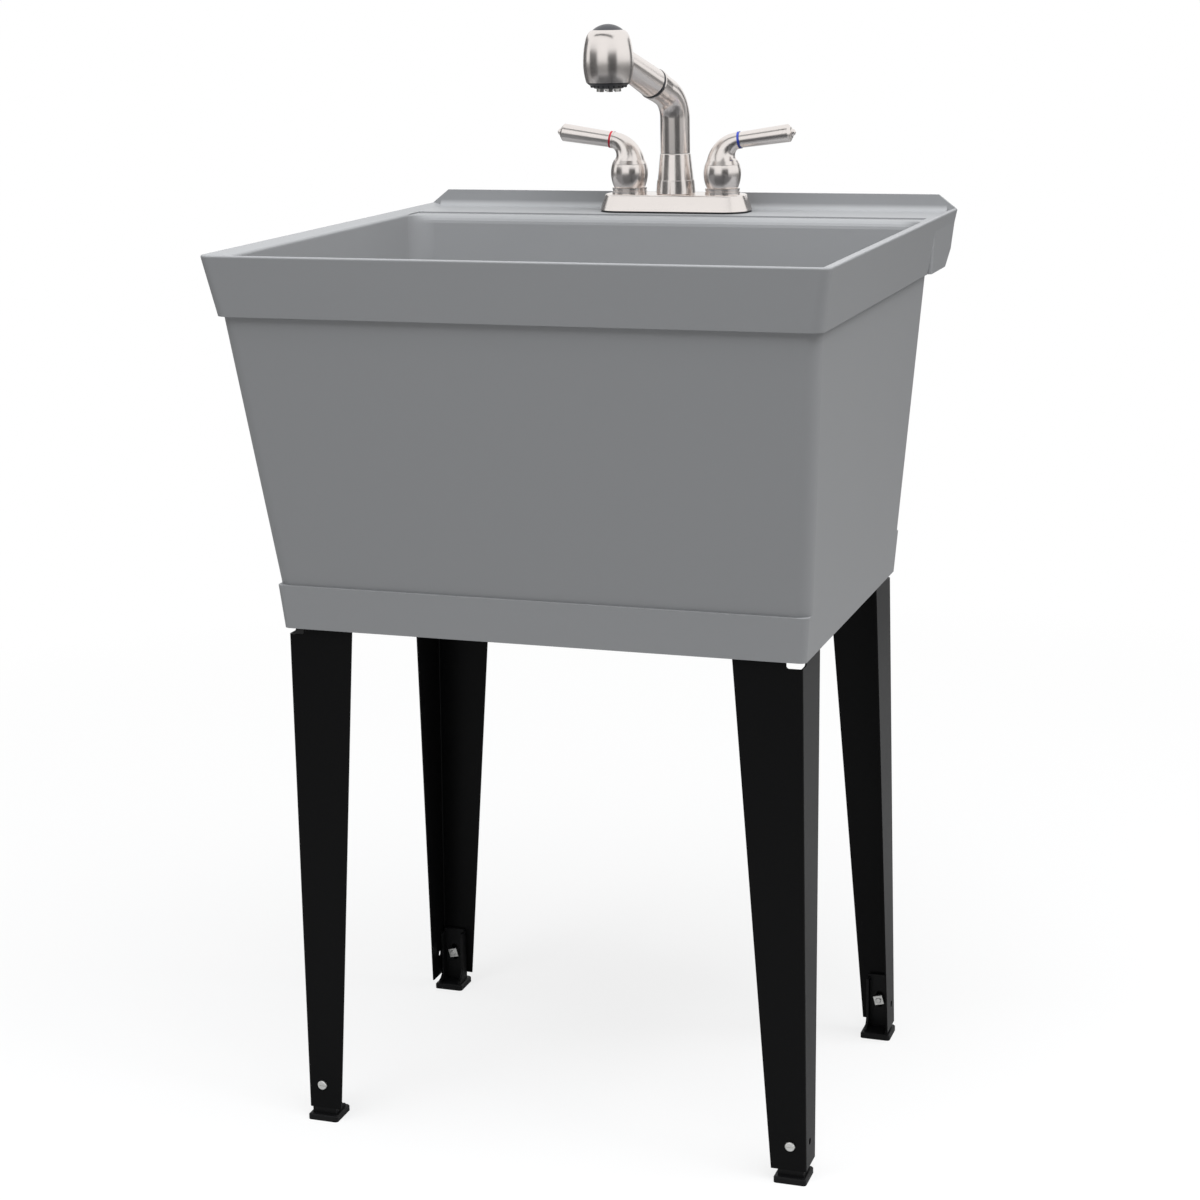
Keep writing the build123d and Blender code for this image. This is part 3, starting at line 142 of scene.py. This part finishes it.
# ---------------------------------------------------------------- effects shared by finishes
def moulded_grain_group():
    """Fine pebbled skin of a moulded plastic, with slow variation of tone and sheen."""
    tree, source, out = group_tree(
        "moulded_grain",
        [("Grain Size", 900.0), ("Cloud Size", 4.0), ("Tone Swing", 0.03)],
        [("Height", "NodeSocketFloat"), ("Tone", "NodeSocketFloat"), ("Sheen", "NodeSocketFloat")],
    )
    place = node(tree, "ShaderNodeNewGeometry")
    grain = put(node(tree, "ShaderNodeTexNoise"), Detail=2.0, Roughness=0.5)
    cloud = put(node(tree, "ShaderNodeTexNoise"), Detail=3.0, Roughness=0.55)
    tree.links.new(place.outputs["Position"], grain.inputs["Vector"])
    tree.links.new(place.outputs["Position"], cloud.inputs["Vector"])
    tree.links.new(source.outputs["Grain Size"], grain.inputs["Scale"])
    tree.links.new(source.outputs["Cloud Size"], cloud.inputs["Scale"])
    centred = node(tree, "ShaderNodeMath", operation="SUBTRACT")
    centred.inputs[1].default_value = 0.5
    tree.links.new(cloud.outputs["Fac"], centred.inputs[0])
    swing = node(tree, "ShaderNodeMath", operation="MULTIPLY_ADD")
    tree.links.new(centred.outputs[0], swing.inputs[0])
    tree.links.new(source.outputs["Tone Swing"], swing.inputs[1])
    swing.inputs[2].default_value = 0.5
    tree.links.new(grain.outputs["Fac"], out.inputs["Height"])
    tree.links.new(swing.outputs[0], out.inputs["Tone"])
    tree.links.new(cloud.outputs["Fac"], out.inputs["Sheen"])
    return tree


def brushed_lines_group():
    """Fine parallel brushing: long thin streaks, squeezed across one axis."""
    tree, source, out = group_tree(
        "brushed_lines",
        [("Across X", 60.0), ("Across Y", 60.0), ("Across Z", 2500.0)],
        [("Height", "NodeSocketFloat"), ("Streak", "NodeSocketFloat")],
    )
    place = node(tree, "ShaderNodeNewGeometry")
    squeeze = node(tree, "ShaderNodeCombineXYZ")
    for axis in "XYZ":
        tree.links.new(source.outputs["Across " + axis], squeeze.inputs[axis])
    scaled = node(tree, "ShaderNodeVectorMath", operation="MULTIPLY")
    tree.links.new(place.outputs["Position"], scaled.inputs[0])
    tree.links.new(squeeze.outputs["Vector"], scaled.inputs[1])
    streaks = put(node(tree, "ShaderNodeTexNoise"), Scale=1.0, Detail=2.0, Roughness=0.5)
    tree.links.new(scaled.outputs["Vector"], streaks.inputs["Vector"])
    tree.links.new(streaks.outputs["Fac"], out.inputs["Height"])
    tree.links.new(streaks.outputs["Fac"], out.inputs["Streak"])
    return tree


def mottle_group():
    """Soft blotches of handling, for roughness."""
    tree, source, out = group_tree(
        "soft_mottle",
        [("Size", 30.0), ("Low", 0.35), ("High", 0.65)],
        [("Mask", "NodeSocketFloat")],
    )
    place = node(tree, "ShaderNodeNewGeometry")
    blotch = put(node(tree, "ShaderNodeTexNoise"), Detail=2.0, Roughness=0.4)
    tree.links.new(place.outputs["Position"], blotch.inputs["Vector"])
    tree.links.new(source.outputs["Size"], blotch.inputs["Scale"])
    spread = node(tree, "ShaderNodeMapRange")
    tree.links.new(blotch.outputs["Fac"], spread.inputs["Value"])
    tree.links.new(source.outputs["Low"], spread.inputs["From Min"])
    tree.links.new(source.outputs["High"], spread.inputs["From Max"])
    tree.links.new(spread.outputs["Result"], out.inputs["Mask"])
    return tree


GROUPS = {}


def effect(name):
    """A shared effect's node group, built the first time it is asked for."""
    makers = {"grain": moulded_grain_group, "brush": brushed_lines_group, "mottle": mottle_group}
    if name not in GROUPS:
        GROUPS[name] = makers[name]()
    return GROUPS[name]


def tinted(tree, mask, colour, low, high):
    """A colour that swings between two brightnesses with a mask."""
    mix = node(tree, "ShaderNodeMix", data_type="RGBA")
    mix.inputs[6].default_value = [channel * low for channel in colour[:3]] + [1.0]
    mix.inputs[7].default_value = [channel * high for channel in colour[:3]] + [1.0]
    tree.links.new(mask, mix.inputs[0])
    return mix.outputs[2]


def ranged(tree, mask, low, high):
    """A value that swings between two limits with a mask."""
    spread = node(tree, "ShaderNodeMapRange")
    spread.inputs["To Min"].default_value = low
    spread.inputs["To Max"].default_value = high
    tree.links.new(mask, spread.inputs["Value"])
    return spread.outputs["Result"]


def bumped(tree, shader, height, strength, distance):
    """A bump from a height, into the shader's normal."""
    bump = put(node(tree, "ShaderNodeBump"), Strength=strength, Distance=distance)
    tree.links.new(height, bump.inputs["Height"])
    tree.links.new(bump.outputs["Normal"], shader.inputs["Normal"])


# ---------------------------------------------------------------- finishes
def plastic_finish(name, colour, roughness, grain=900.0, bump=0.06, swing=0.05, specular=0.5):
    """Moulded plastic with a fine grain and a slow change of tone."""
    material, tree, shader = fresh_material(name)
    skin = placed_group(tree, effect("grain"), Grain_Size=grain, Tone_Swing=swing * 8)
    shade = tinted(tree, skin.outputs["Tone"], colour, 1 - swing, 1 + swing)
    tree.links.new(shade, shader.inputs["Base Color"])
    matt = ranged(tree, skin.outputs["Sheen"], roughness - 0.04, roughness + 0.04)
    tree.links.new(matt, shader.inputs["Roughness"])
    bumped(tree, shader, skin.outputs["Height"], bump, 0.0004)
    shader.inputs["Specular IOR Level"].default_value = specular
    return material


def metal_finish(name, colour, roughness, squeeze, bump=0.05, swing=0.12):
    """Brushed or polished metal: streaks in tone and height, blotches in roughness."""
    material, tree, shader = fresh_material(name)
    lines = placed_group(
        tree, effect("brush"), Across_X=squeeze[0], Across_Y=squeeze[1], Across_Z=squeeze[2]
    )
    mottle = placed_group(tree, effect("mottle"), Size=45.0)
    shade = tinted(tree, lines.outputs["Streak"], colour, 1 - swing, 1 + swing)
    tree.links.new(shade, shader.inputs["Base Color"])
    matt = ranged(tree, mottle.outputs["Mask"], roughness - 0.01, roughness + 0.02)
    tree.links.new(matt, shader.inputs["Roughness"])
    bumped(tree, shader, lines.outputs["Height"], bump, 0.00002)
    shader.inputs["Metallic"].default_value = 1.0
    return material


def nickel_finish(name, look, squeeze):
    """The faucet's brushed nickel, with its lines squeezed along one axis."""
    return metal_finish(name, look.nickel, look.nickel_roughness, squeeze, bump=0.02, swing=0.02)


# ---------------------------------------------------------------- small pieces in mesh code
def mesh_piece(name, points, faces, material, body, slot_name, crease=35):
    """A mesh piece that rides on a body and takes the finish it is given; its slot_name is not
    used.
    """
    mesh = bpy.data.meshes.new(name)
    mesh.from_pydata([tuple(point) for point in points], [], faces)
    mesh.validate()
    mesh.shade_smooth()
    mesh.set_sharp_from_angle(angle=radians(crease))
    mesh.materials.append(material)
    piece = bpy.data.objects.new(name, mesh)
    bpy.context.scene.collection.objects.link(piece)
    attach(piece, body)


def thread_mesh(x, y, low, high, pitch, radius, depth, steps):
    """The ridge of a screw thread round an upright axis, faded out at both ends."""
    points, faces = [], []
    count = int((high - low - pitch) / pitch * steps)
    for step in range(count + 1):
        turn = 2 * pi * step / steps
        middle = low + pitch / 2 + step * pitch / steps
        crest = depth * min(1, 4 * step / steps, 4 * (count - step) / steps)
        ring = ((-0.48, 0), (-0.12, crest), (0.12, crest), (0.48, 0), (0, -depth))
        for rise, out in ring:
            r = radius + out
            points.append((x + r * cos(turn), y + r * sin(turn), middle + rise * pitch))
    across = len(ring)
    for step in range(count):
        for side in range(across):
            after = (side + 1) % across
            low_row, high_row = step * across, (step + 1) * across
            faces.append((low_row + side, high_row + side, high_row + after, low_row + after))
    faces.append(tuple(range(across)))
    faces.append(tuple(count * across + side for side in reversed(range(across))))
    return points, faces


def turned_mesh(centre, profile, steps):
    """A solid turned round an upright axis from (radius, height) points, closed on the axis."""
    x, y, z = centre
    points = [(x, y, z + profile[0][1])]
    for radius, rise in profile[1:-1]:
        for step in range(steps):
            turn = 2 * pi * step / steps
            points.append((x + radius * cos(turn), y + radius * sin(turn), z + rise))
    points.append((x, y, z + profile[-1][1]))
    rows, last = len(profile) - 2, len(points) - 1
    faces = []
    for step in range(steps):
        after = (step + 1) % steps
        faces.append((0, 1 + after, 1 + step))
        for row in range(rows - 1):
            here, there = 1 + row * steps, 1 + (row + 1) * steps
            faces.append((here + step, here + after, there + after, there + step))
        top = 1 + (rows - 1) * steps
        faces.append((last, top + step, top + after))
    return points, faces


def bar_mesh(start, end, thick):
    """A straight bar with a square section, laid level between two points."""
    start, end = Vector(start), Vector(end)
    along = (end - start).normalized()
    side = Vector((-along.y, along.x, 0)) * thick / 2
    rise = Vector((0, 0, thick))
    points = [start - side, start + side, end + side, end - side]
    points += [point + rise for point in points]
    faces = [(0, 1, 2, 3), (7, 6, 5, 4), (0, 4, 5, 1), (1, 5, 6, 2), (2, 6, 7, 3), (3, 7, 4, 0)]
    return points, faces


def joined(parts):
    """Several (points, faces) pairs as one."""
    points, faces = [], []
    for some_points, some_faces in parts:
        start = len(points)
        points.extend(some_points)
        faces.extend(tuple(start + corner for corner in face) for face in some_faces)
    return points, faces


def middle_of(name):
    """Centre of a carried-over solid, with its lowest and highest points."""
    low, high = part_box(name)
    return (low[0] + high[0]) / 2, (low[1] + high[1]) / 2, low[2], high[2]


# ---------------------------------------------------------------- what a user may change
class TubLook(bpy.types.PropertyGroup):
    colour: bpy.props.FloatVectorProperty(
        name="Tub colour",
        description="Colour of the moulded tub",
        subtype="COLOR",
        size=3,
        min=0,
        max=1,
        default=(0.275, 0.279, 0.286),
    )
    roughness: bpy.props.FloatProperty(
        name="Tub roughness",
        description="How matt the tub's skin is",
        default=0.42,
        min=0,
        max=1,
    )


class MetalLook(bpy.types.PropertyGroup):
    nickel: bpy.props.FloatVectorProperty(
        name="Nickel colour",
        description="Colour of the brushed faucet",
        subtype="COLOR",
        size=3,
        min=0,
        max=1,
        default=(0.84, 0.79, 0.76),
    )
    nickel_roughness: bpy.props.FloatProperty(
        name="Nickel roughness",
        description="How soft the reflections on the faucet are",
        default=0.22,
        min=0,
        max=1,
    )
    leg_colour: bpy.props.FloatVectorProperty(
        name="Leg colour",
        description="Colour of the powder coat on the legs",
        subtype="COLOR",
        size=3,
        min=0,
        max=1,
        default=(0.0025, 0.0025, 0.0027),
    )


class DetailLook(bpy.types.PropertyGroup):
    drain_pitch: bpy.props.FloatProperty(
        name="Drain thread pitch",
        description="Pitch of the thread on the drain's body",
        unit="LENGTH",
        default=0.0022,
        min=0.001,
    )
    shank_pitch: bpy.props.FloatProperty(
        name="Shank thread pitch",
        description="Pitch of the thread on the two supply shanks",
        unit="LENGTH",
        default=0.0018,
        min=0.001,
    )
    nozzles: bpy.props.IntProperty(
        name="Nozzles",
        description="How many spray nozzles stand in the outer ring",
        default=20,
        min=4,
        max=40,
    )
    screen_gap: bpy.props.FloatProperty(
        name="Screen gap",
        description="Distance between the wires of the aerator's screen",
        unit="LENGTH",
        default=0.0017,
        min=0.0008,
    )


class StageLook(bpy.types.PropertyGroup):
    eye: bpy.props.FloatVectorProperty(
        name="Camera place",
        description="Where the camera stands",
        subtype="XYZ",
        unit="LENGTH",
        size=3,
        default=(0.7709, -2.2537, 1.0897),
    )
    yaw: bpy.props.FloatProperty(
        name="Camera turn",
        description="How far the camera looks to the left of straight back",
        subtype="ANGLE",
        default=radians(18.237),
    )
    pitch: bpy.props.FloatProperty(
        name="Camera tilt",
        description="How far the camera looks down",
        subtype="ANGLE",
        default=radians(13.171),
    )
    roll: bpy.props.FloatProperty(
        name="Camera roll",
        description="How far the camera leans to one side",
        subtype="ANGLE",
        default=radians(-0.947),
    )
    lens: bpy.props.FloatProperty(
        name="Lens",
        description="Focal length on a sensor 36 mm wide",
        unit="CAMERA",
        default=74.07,
    )
    shadow: bpy.props.FloatProperty(
        name="Floor shadow",
        description="How much of the floor's shading the camera sees",
        subtype="FACTOR",
        default=0.25,
        min=0,
        max=1,
    )


# ---------------------------------------------------------------- operators
class LAUNDRY_OT_tub(bpy.types.Operator):
    """Finishes the moulded tub"""

    bl_idname = "laundry.tub"
    bl_label = "Tub"

    def execute(self, context):
        look = context.scene.laundry_tub
        grey = plastic_finish(
            "tub_grey",
            look.colour,
            look.roughness,
            grain=1100.0,
            bump=0.05,
            swing=0.02,
            specular=0.4,
        )
        dress("tub", grey)
        return {"FINISHED"}


class LAUNDRY_OT_legs(bpy.types.Operator):
    """Finishes the legs, their feet, screws and nuts"""

    bl_idname = "laundry.legs"
    bl_label = "Legs and feet"

    def execute(self, context):
        look = context.scene.laundry_metal
        coat = plastic_finish(
            "powder_coat", look.leg_colour, 0.36, grain=700.0, bump=0.12, swing=0.1, specular=0.1
        )
        black = (0.004, 0.004, 0.0044)
        foot = plastic_finish(
            "foot_plastic", black, 0.5, grain=1200.0, bump=0.1, swing=0.1, specular=0.2
        )
        zinc = metal_finish("zinc_plate", (0.72, 0.72, 0.7), 0.3, (900.0, 900.0, 900.0), bump=0.04)
        for corner in ("front_left", "front_right", "rear_left", "rear_right"):
            dress("leg_" + corner, coat)
            dress("foot_" + corner, foot)
        dress("foot_screws", zinc)
        dress("foot_nuts", zinc)
        return {"FINISHED"}


class LAUNDRY_OT_drain(bpy.types.Operator):
    """Finishes the drain and its stopper"""

    bl_idname = "laundry.drain"
    bl_label = "Drain"

    def execute(self, context):
        steel = metal_finish("drain_steel", (0.7, 0.7, 0.69), 0.2, (300.0, 300.0, 300.0), bump=0.03)
        rubber = plastic_finish(
            "drain_rubber", (0.012, 0.012, 0.013), 0.65, grain=600.0, bump=0.2, swing=0.1
        )
        white = plastic_finish(
            "white_nut", (0.62, 0.62, 0.6), 0.45, grain=800.0, bump=0.08, swing=0.03
        )
        fibre = plastic_finish(
            "fibre_washer", (0.3, 0.06, 0.04), 0.7, grain=300.0, bump=0.3, swing=0.15
        )
        dress("drain_strainer", steel)
        dress("drain_gasket", rubber)
        dress("drain_stopper", rubber)
        dress("drain_washer", fibre)
        for name in ("drain_locknut", "drain_slip_nut", "drain_tailpiece", "mounting_nuts"):
            dress(name, white)
        # thread on the bare part of the drain's body
        look = context.scene.laundry_detail
        x, y, _, nut_top = middle_of("drain_slip_nut")
        nut_low = middle_of("drain_locknut")[2]
        thread = thread_mesh(x, y, nut_top, nut_low, look.drain_pitch, *DRAIN_THREAD)
        mesh_piece("drain_thread", *thread, steel, "sink", "bright_metal")
        return {"FINISHED"}


class LAUNDRY_OT_faucet(bpy.types.Operator):
    """Finishes the faucet's deck plate, valve body and spout"""

    bl_idname = "laundry.faucet"
    bl_label = "Faucet"

    def execute(self, context):
        look = context.scene.laundry_metal
        turned = nickel_finish("nickel_turned", look, (50.0, 50.0, 3000.0))
        plate = nickel_finish("nickel_plate", look, (40.0, 3000.0, 3000.0))
        brass = metal_finish(
            "cast_brass", (0.55, 0.38, 0.16), 0.42, (500.0, 500.0, 500.0), bump=0.1
        )
        rubber = plastic_finish(
            "faucet_rubber", (0.012, 0.012, 0.013), 0.6, grain=600.0, bump=0.15, swing=0.1
        )
        white = plastic_finish(
            "glide_white", (0.62, 0.62, 0.6), 0.4, grain=800.0, bump=0.05, swing=0.03
        )
        dress("faucet_deck_plate", plate)
        for name in ("spout_base", "spout_body"):
            dress(name, turned)
        for name in ("valve_body", "spout_nut"):
            dress(name, brass)
        for side in ("hot", "cold"):
            dress(side + "_cartridge", brass)
            dress(side + "_stem", brass)
        for name in ("faucet_gasket", "spout_o_rings"):
            dress(name, rubber)
        dress("spout_glide_ring", white)
        # threads on the two shanks under the mounting nuts
        pitch = context.scene.laundry_detail.shank_pitch
        nut_low = middle_of("mounting_nuts")[2]
        for side in ("hot", "cold"):
            x, y = middle_of(side + "_trim_ring")[:2]
            thread = thread_mesh(x, y, SHANK_THREAD_FOOT, nut_low, pitch, *SHANK_THREAD)
            mesh_piece(side + "_shank_thread", *thread, brass, "sink", "brass")
        return {"FINISHED"}


class LAUNDRY_OT_handles(bpy.types.Operator):
    """Finishes both handles with their trim, index rings and levers"""

    bl_idname = "laundry.handles"
    bl_label = "Handles"

    def execute(self, context):
        look = context.scene.laundry_metal
        bell = nickel_finish("nickel_bell", look, (60.0, 60.0, 3000.0))
        lever = nickel_finish("nickel_lever", look, (40.0, 2600.0, 2600.0))
        steel = metal_finish(
            "set_screw_steel", (0.5, 0.5, 0.5), 0.3, (900.0, 900.0, 900.0), bump=0.04
        )
        for side, colour in (("hot", (0.46, 0.02, 0.035)), ("cold", (0.025, 0.05, 0.34))):
            dress(side + "_handle", bell)
            dress(side + "_trim_ring", bell)
            dress(side + "_lever", lever)
            dress(side + "_set_screw", steel)
            ring = plastic_finish(
                side + "_index", colour, 0.25, grain=1500.0, bump=0.03, swing=0.05
            )
            dress(side + "_index_ring", ring)
        return {"FINISHED"}


def nozzle_ring(count):
    """The ring of spray nozzles round the aerator."""
    x, y, low, _ = middle_of("spray_face")
    nozzles = []
    for number in range(count):
        turn = 2 * pi * number / count
        centre = (x + NOZZLE_RING_R * cos(turn), y + NOZZLE_RING_R * sin(turn), low + NOZZLE_LIFT)
        nozzles.append(turned_mesh(centre, NOZZLE_OUTLINE, NOZZLE_SIDES))
    return joined(nozzles)


def wire_screen(gap):
    """The aerator's screen: one layer of wires across and one from front to back."""
    x, y, low, _ = middle_of("aerator")
    lower, upper = low + SCREEN_LIFT, low + SCREEN_LIFT + SCREEN_STEP
    wires = []
    count = int(SCREEN_R / gap)
    for number in range(-count, count + 1):
        off = number * gap
        half = (SCREEN_R**2 - off**2) ** 0.5
        across = (x - half, y + off, lower), (x + half, y + off, lower)
        along = (x + off, y - half, upper), (x + off, y + half, upper)
        wires.append(bar_mesh(*across, SCREEN_WIRE))
        wires.append(bar_mesh(*along, SCREEN_WIRE))
    return joined(wires)


class LAUNDRY_OT_sprayer(bpy.types.Operator):
    """Finishes the pull-out sprayer"""

    bl_idname = "laundry.sprayer"
    bl_label = "Sprayer"

    def execute(self, context):
        look = context.scene.laundry_metal
        barrel = nickel_finish("nickel_barrel", look, (900.0, 120.0, 900.0))
        head = nickel_finish("nickel_head", look, (60.0, 60.0, 3000.0))
        bright = metal_finish(
            "aerator_steel", (0.75, 0.74, 0.72), 0.16, (600.0, 600.0, 600.0), bump=0.02
        )
        dark = plastic_finish(
            "sprayer_grey", (0.035, 0.036, 0.04), 0.38, grain=1500.0, bump=0.05, swing=0.06
        )
        rubber = plastic_finish(
            "nozzle_rubber", (0.02, 0.02, 0.022), 0.55, grain=1500.0, bump=0.03, swing=0.05
        )
        dress("wand_handle", barrel)
        dress("wand_head", head)
        dress("aerator", bright)
        for name in ("docking_ring", "spray_button", "spray_face"):
            dress(name, dark)
        detail = context.scene.laundry_detail
        nozzles = nozzle_ring(detail.nozzles)
        mesh_piece("spray_nozzles", *nozzles, rubber, "wand", "dark_grey")
        screen = wire_screen(detail.screen_gap)
        mesh_piece("aerator_screen", *screen, bright, "wand", "bright_metal")
        return {"FINISHED"}


def panel_light(name, place, target, size, power, colour):
    """A soft rectangular lamp that looks at a point and doesn't show in reflections."""
    data = bpy.data.lights.new(name, "AREA")
    data.shape = "RECTANGLE"
    data.size, data.size_y = size
    data.energy = power
    data.color = colour
    lamp = bpy.data.objects.new(name, data)
    lamp.location = place
    lamp.rotation_euler = (Vector(target) - Vector(place)).to_track_quat("-Z", "Y").to_euler()
    lamp.visible_glossy = False
    bpy.context.scene.collection.objects.link(lamp)


def reflection_card(name, turn, rise, size, tone):
    """A dark card round the faucet, at a turn from straight ahead, that only reflections see."""
    turn, rise = radians(turn), radians(rise)
    away = Vector((sin(turn) * cos(rise), -cos(turn) * cos(rise), sin(rise)))
    mesh = bpy.data.meshes.new(name)
    shape = bmesh.new()
    bmesh.ops.create_grid(shape, x_segments=1, y_segments=1, size=0.5)
    bmesh.ops.scale(shape, vec=(size[0], size[1], 1), verts=shape.verts)
    shape.to_mesh(mesh)
    shape.free()
    card = bpy.data.objects.new(name, mesh)
    card.location = Vector(CARD_CENTRE) + away * CARD_DISTANCE
    card.rotation_euler = (-away).to_track_quat("Z", "Y").to_euler()
    for sight in ("visible_camera", "visible_diffuse", "visible_shadow", "visible_transmission"):
        setattr(card, sight, False)
    bpy.context.scene.collection.objects.link(card)
    material, _, shader = fresh_material(name)
    put(shader, Base_Color=(tone, tone, tone, 1), Roughness=0.9)
    mesh.materials.append(material)


def mixed(tree, share, first, second, output):
    """Two shaders mixed by a share, into the surface of an output node."""
    mix = node(tree, "ShaderNodeMixShader")
    tree.links.new(share, mix.inputs[0])
    tree.links.new(first.outputs[0], mix.inputs[1])
    tree.links.new(second.outputs[0], mix.inputs[2])
    tree.links.new(mix.outputs[0], tree.nodes[output].inputs["Surface"])


def floor_finish(shadow):
    """White paper whose shading the camera sees only in part, and not at all far out."""
    material, tree, shader = fresh_material("floor_white")
    shader.inputs["Roughness"].default_value = 0.9
    glow = put(node(tree, "ShaderNodeEmission"), Strength=1.0)
    paths = node(tree, "ShaderNodeLightPath")
    place = node(tree, "ShaderNodeNewGeometry")
    reach = node(tree, "ShaderNodeVectorMath", operation="LENGTH")
    tree.links.new(place.outputs["Position"], reach.inputs[0])
    fade = ranged(tree, reach.outputs["Value"], 1 - shadow, 1.0)
    put(fade.node, From_Min=FLOOR_FADE[0], From_Max=FLOOR_FADE[1])
    share = node(tree, "ShaderNodeMath", operation="MULTIPLY")
    tree.links.new(fade, share.inputs[1])
    tree.links.new(paths.outputs["Is Camera Ray"], share.inputs[0])
    paper = tinted(tree, paths.outputs["Is Camera Ray"], (1, 1, 1), 0.5, 0.9)
    tree.links.new(paper, shader.inputs["Base Color"])
    mixed(tree, share.outputs[0], shader, glow, "Material Output")
    return material


def white_floor(scene, shadow):
    """A wide disc of white paper under the sink."""
    mesh = bpy.data.meshes.new("studio_floor")
    shape = bmesh.new()
    bmesh.ops.create_circle(shape, cap_ends=True, radius=FLOOR_R, segments=96)
    shape.to_mesh(mesh)
    shape.free()
    floor = bpy.data.objects.new("studio_floor", mesh)
    scene.collection.objects.link(floor)
    mesh.materials.append(floor_finish(shadow))


def white_surroundings(scene):
    """A world that is white to the camera and in reflections, and softer as light."""
    world = bpy.data.worlds.new("studio_white")
    scene.world = world
    world.use_nodes = True
    tree = world.node_tree
    seen = put(tree.nodes["Background"], Color=(1, 1, 1, 1), Strength=1.0)
    soft = put(node(tree, "ShaderNodeBackground"), Color=(1, 1, 1, 1), Strength=SOFT_WORLD)
    paths = node(tree, "ShaderNodeLightPath")
    two = node(tree, "ShaderNodeMath", operation="ADD", use_clamp=True)
    three = node(tree, "ShaderNodeMath", operation="ADD", use_clamp=True)
    tree.links.new(paths.outputs["Is Camera Ray"], two.inputs[0])
    tree.links.new(paths.outputs["Is Glossy Ray"], two.inputs[1])
    tree.links.new(two.outputs[0], three.inputs[0])
    tree.links.new(paths.outputs["Is Transmission Ray"], three.inputs[1])
    mixed(tree, three.outputs[0], soft, seen, "World Output")


def photo_camera(scene, look):
    """A camera with the photograph's angle and framing."""
    turn, tilt, lean = look.yaw, look.pitch, look.roll
    ahead = Vector((-sin(turn) * cos(tilt), cos(turn) * cos(tilt), -sin(tilt)))
    right = Vector((cos(turn), sin(turn), 0))
    up = right.cross(ahead)
    rolled_right = right * cos(lean) + up * sin(lean)
    rolled_up = up * cos(lean) - right * sin(lean)
    data = bpy.data.cameras.new("photo_camera")
    data.sensor_width = 36
    data.lens = look.lens
    data.shift_x, data.shift_y = CAMERA_SHIFT
    data.clip_end = 100
    camera = bpy.data.objects.new("photo_camera", data)
    turned = Matrix((rolled_right, rolled_up, -ahead)).transposed()
    camera.matrix_world = Matrix.Translation(Vector(look.eye)) @ turned.to_4x4()
    scene.collection.objects.link(camera)
    scene.camera = camera


class LAUNDRY_OT_stage(bpy.types.Operator):
    """Sets the floor, the soft lamps, the white surroundings and the camera"""

    bl_idname = "laundry.stage"
    bl_label = "Studio"

    def execute(self, context):
        scene = context.scene
        look = scene.laundry_stage
        scene.view_settings.view_transform = "Standard"
        white_floor(scene, look.shadow)
        white_surroundings(scene)
        for lamp in LAMPS:
            panel_light(*lamp)
        for card in CARDS:
            reflection_card(*card)
        photo_camera(scene, look)
        return {"FINISHED"}


class LAUNDRY_PT_sink(bpy.types.Panel):
    """Lists the sink's pieces and the values they take"""

    bl_idname = "LAUNDRY_PT_sink"
    bl_label = "Laundry sink"
    bl_space_type = "VIEW_3D"
    bl_region_type = "UI"
    bl_category = "Laundry sink"

    def draw(self, context):
        scene = context.scene
        for group in (getattr(scene, key) for key, _ in LOOKS):
            box = self.layout.box()
            for key in group.__annotations__:
                box.prop(group, key)
        for step in STEPS:
            self.layout.operator(step.bl_idname)


STEPS = (
    LAUNDRY_OT_tub,
    LAUNDRY_OT_legs,
    LAUNDRY_OT_drain,
    LAUNDRY_OT_faucet,
    LAUNDRY_OT_handles,
    LAUNDRY_OT_sprayer,
    LAUNDRY_OT_stage,
)
LOOKS = (
    ("laundry_tub", TubLook),
    ("laundry_metal", MetalLook),
    ("laundry_detail", DetailLook),
    ("laundry_stage", StageLook),
)


def register():
    for key, group in LOOKS:
        bpy.utils.register_class(group)
        setattr(bpy.types.Scene, key, bpy.props.PointerProperty(type=group))
    for step in STEPS:
        bpy.utils.register_class(step)
    bpy.utils.register_class(LAUNDRY_PT_sink)


def unregister():
    bpy.utils.unregister_class(LAUNDRY_PT_sink)
    for step in reversed(STEPS):
        bpy.utils.unregister_class(step)
    for key, group in reversed(LOOKS):
        delattr(bpy.types.Scene, key)
        bpy.utils.unregister_class(group)


def main():
    register()
    bpy.ops.laundry.tub()
    bpy.ops.laundry.legs()
    bpy.ops.laundry.drain()
    bpy.ops.laundry.faucet()
    bpy.ops.laundry.handles()
    bpy.ops.laundry.sprayer()
    bpy.ops.laundry.stage()


if __name__ == "__main__":
    main()
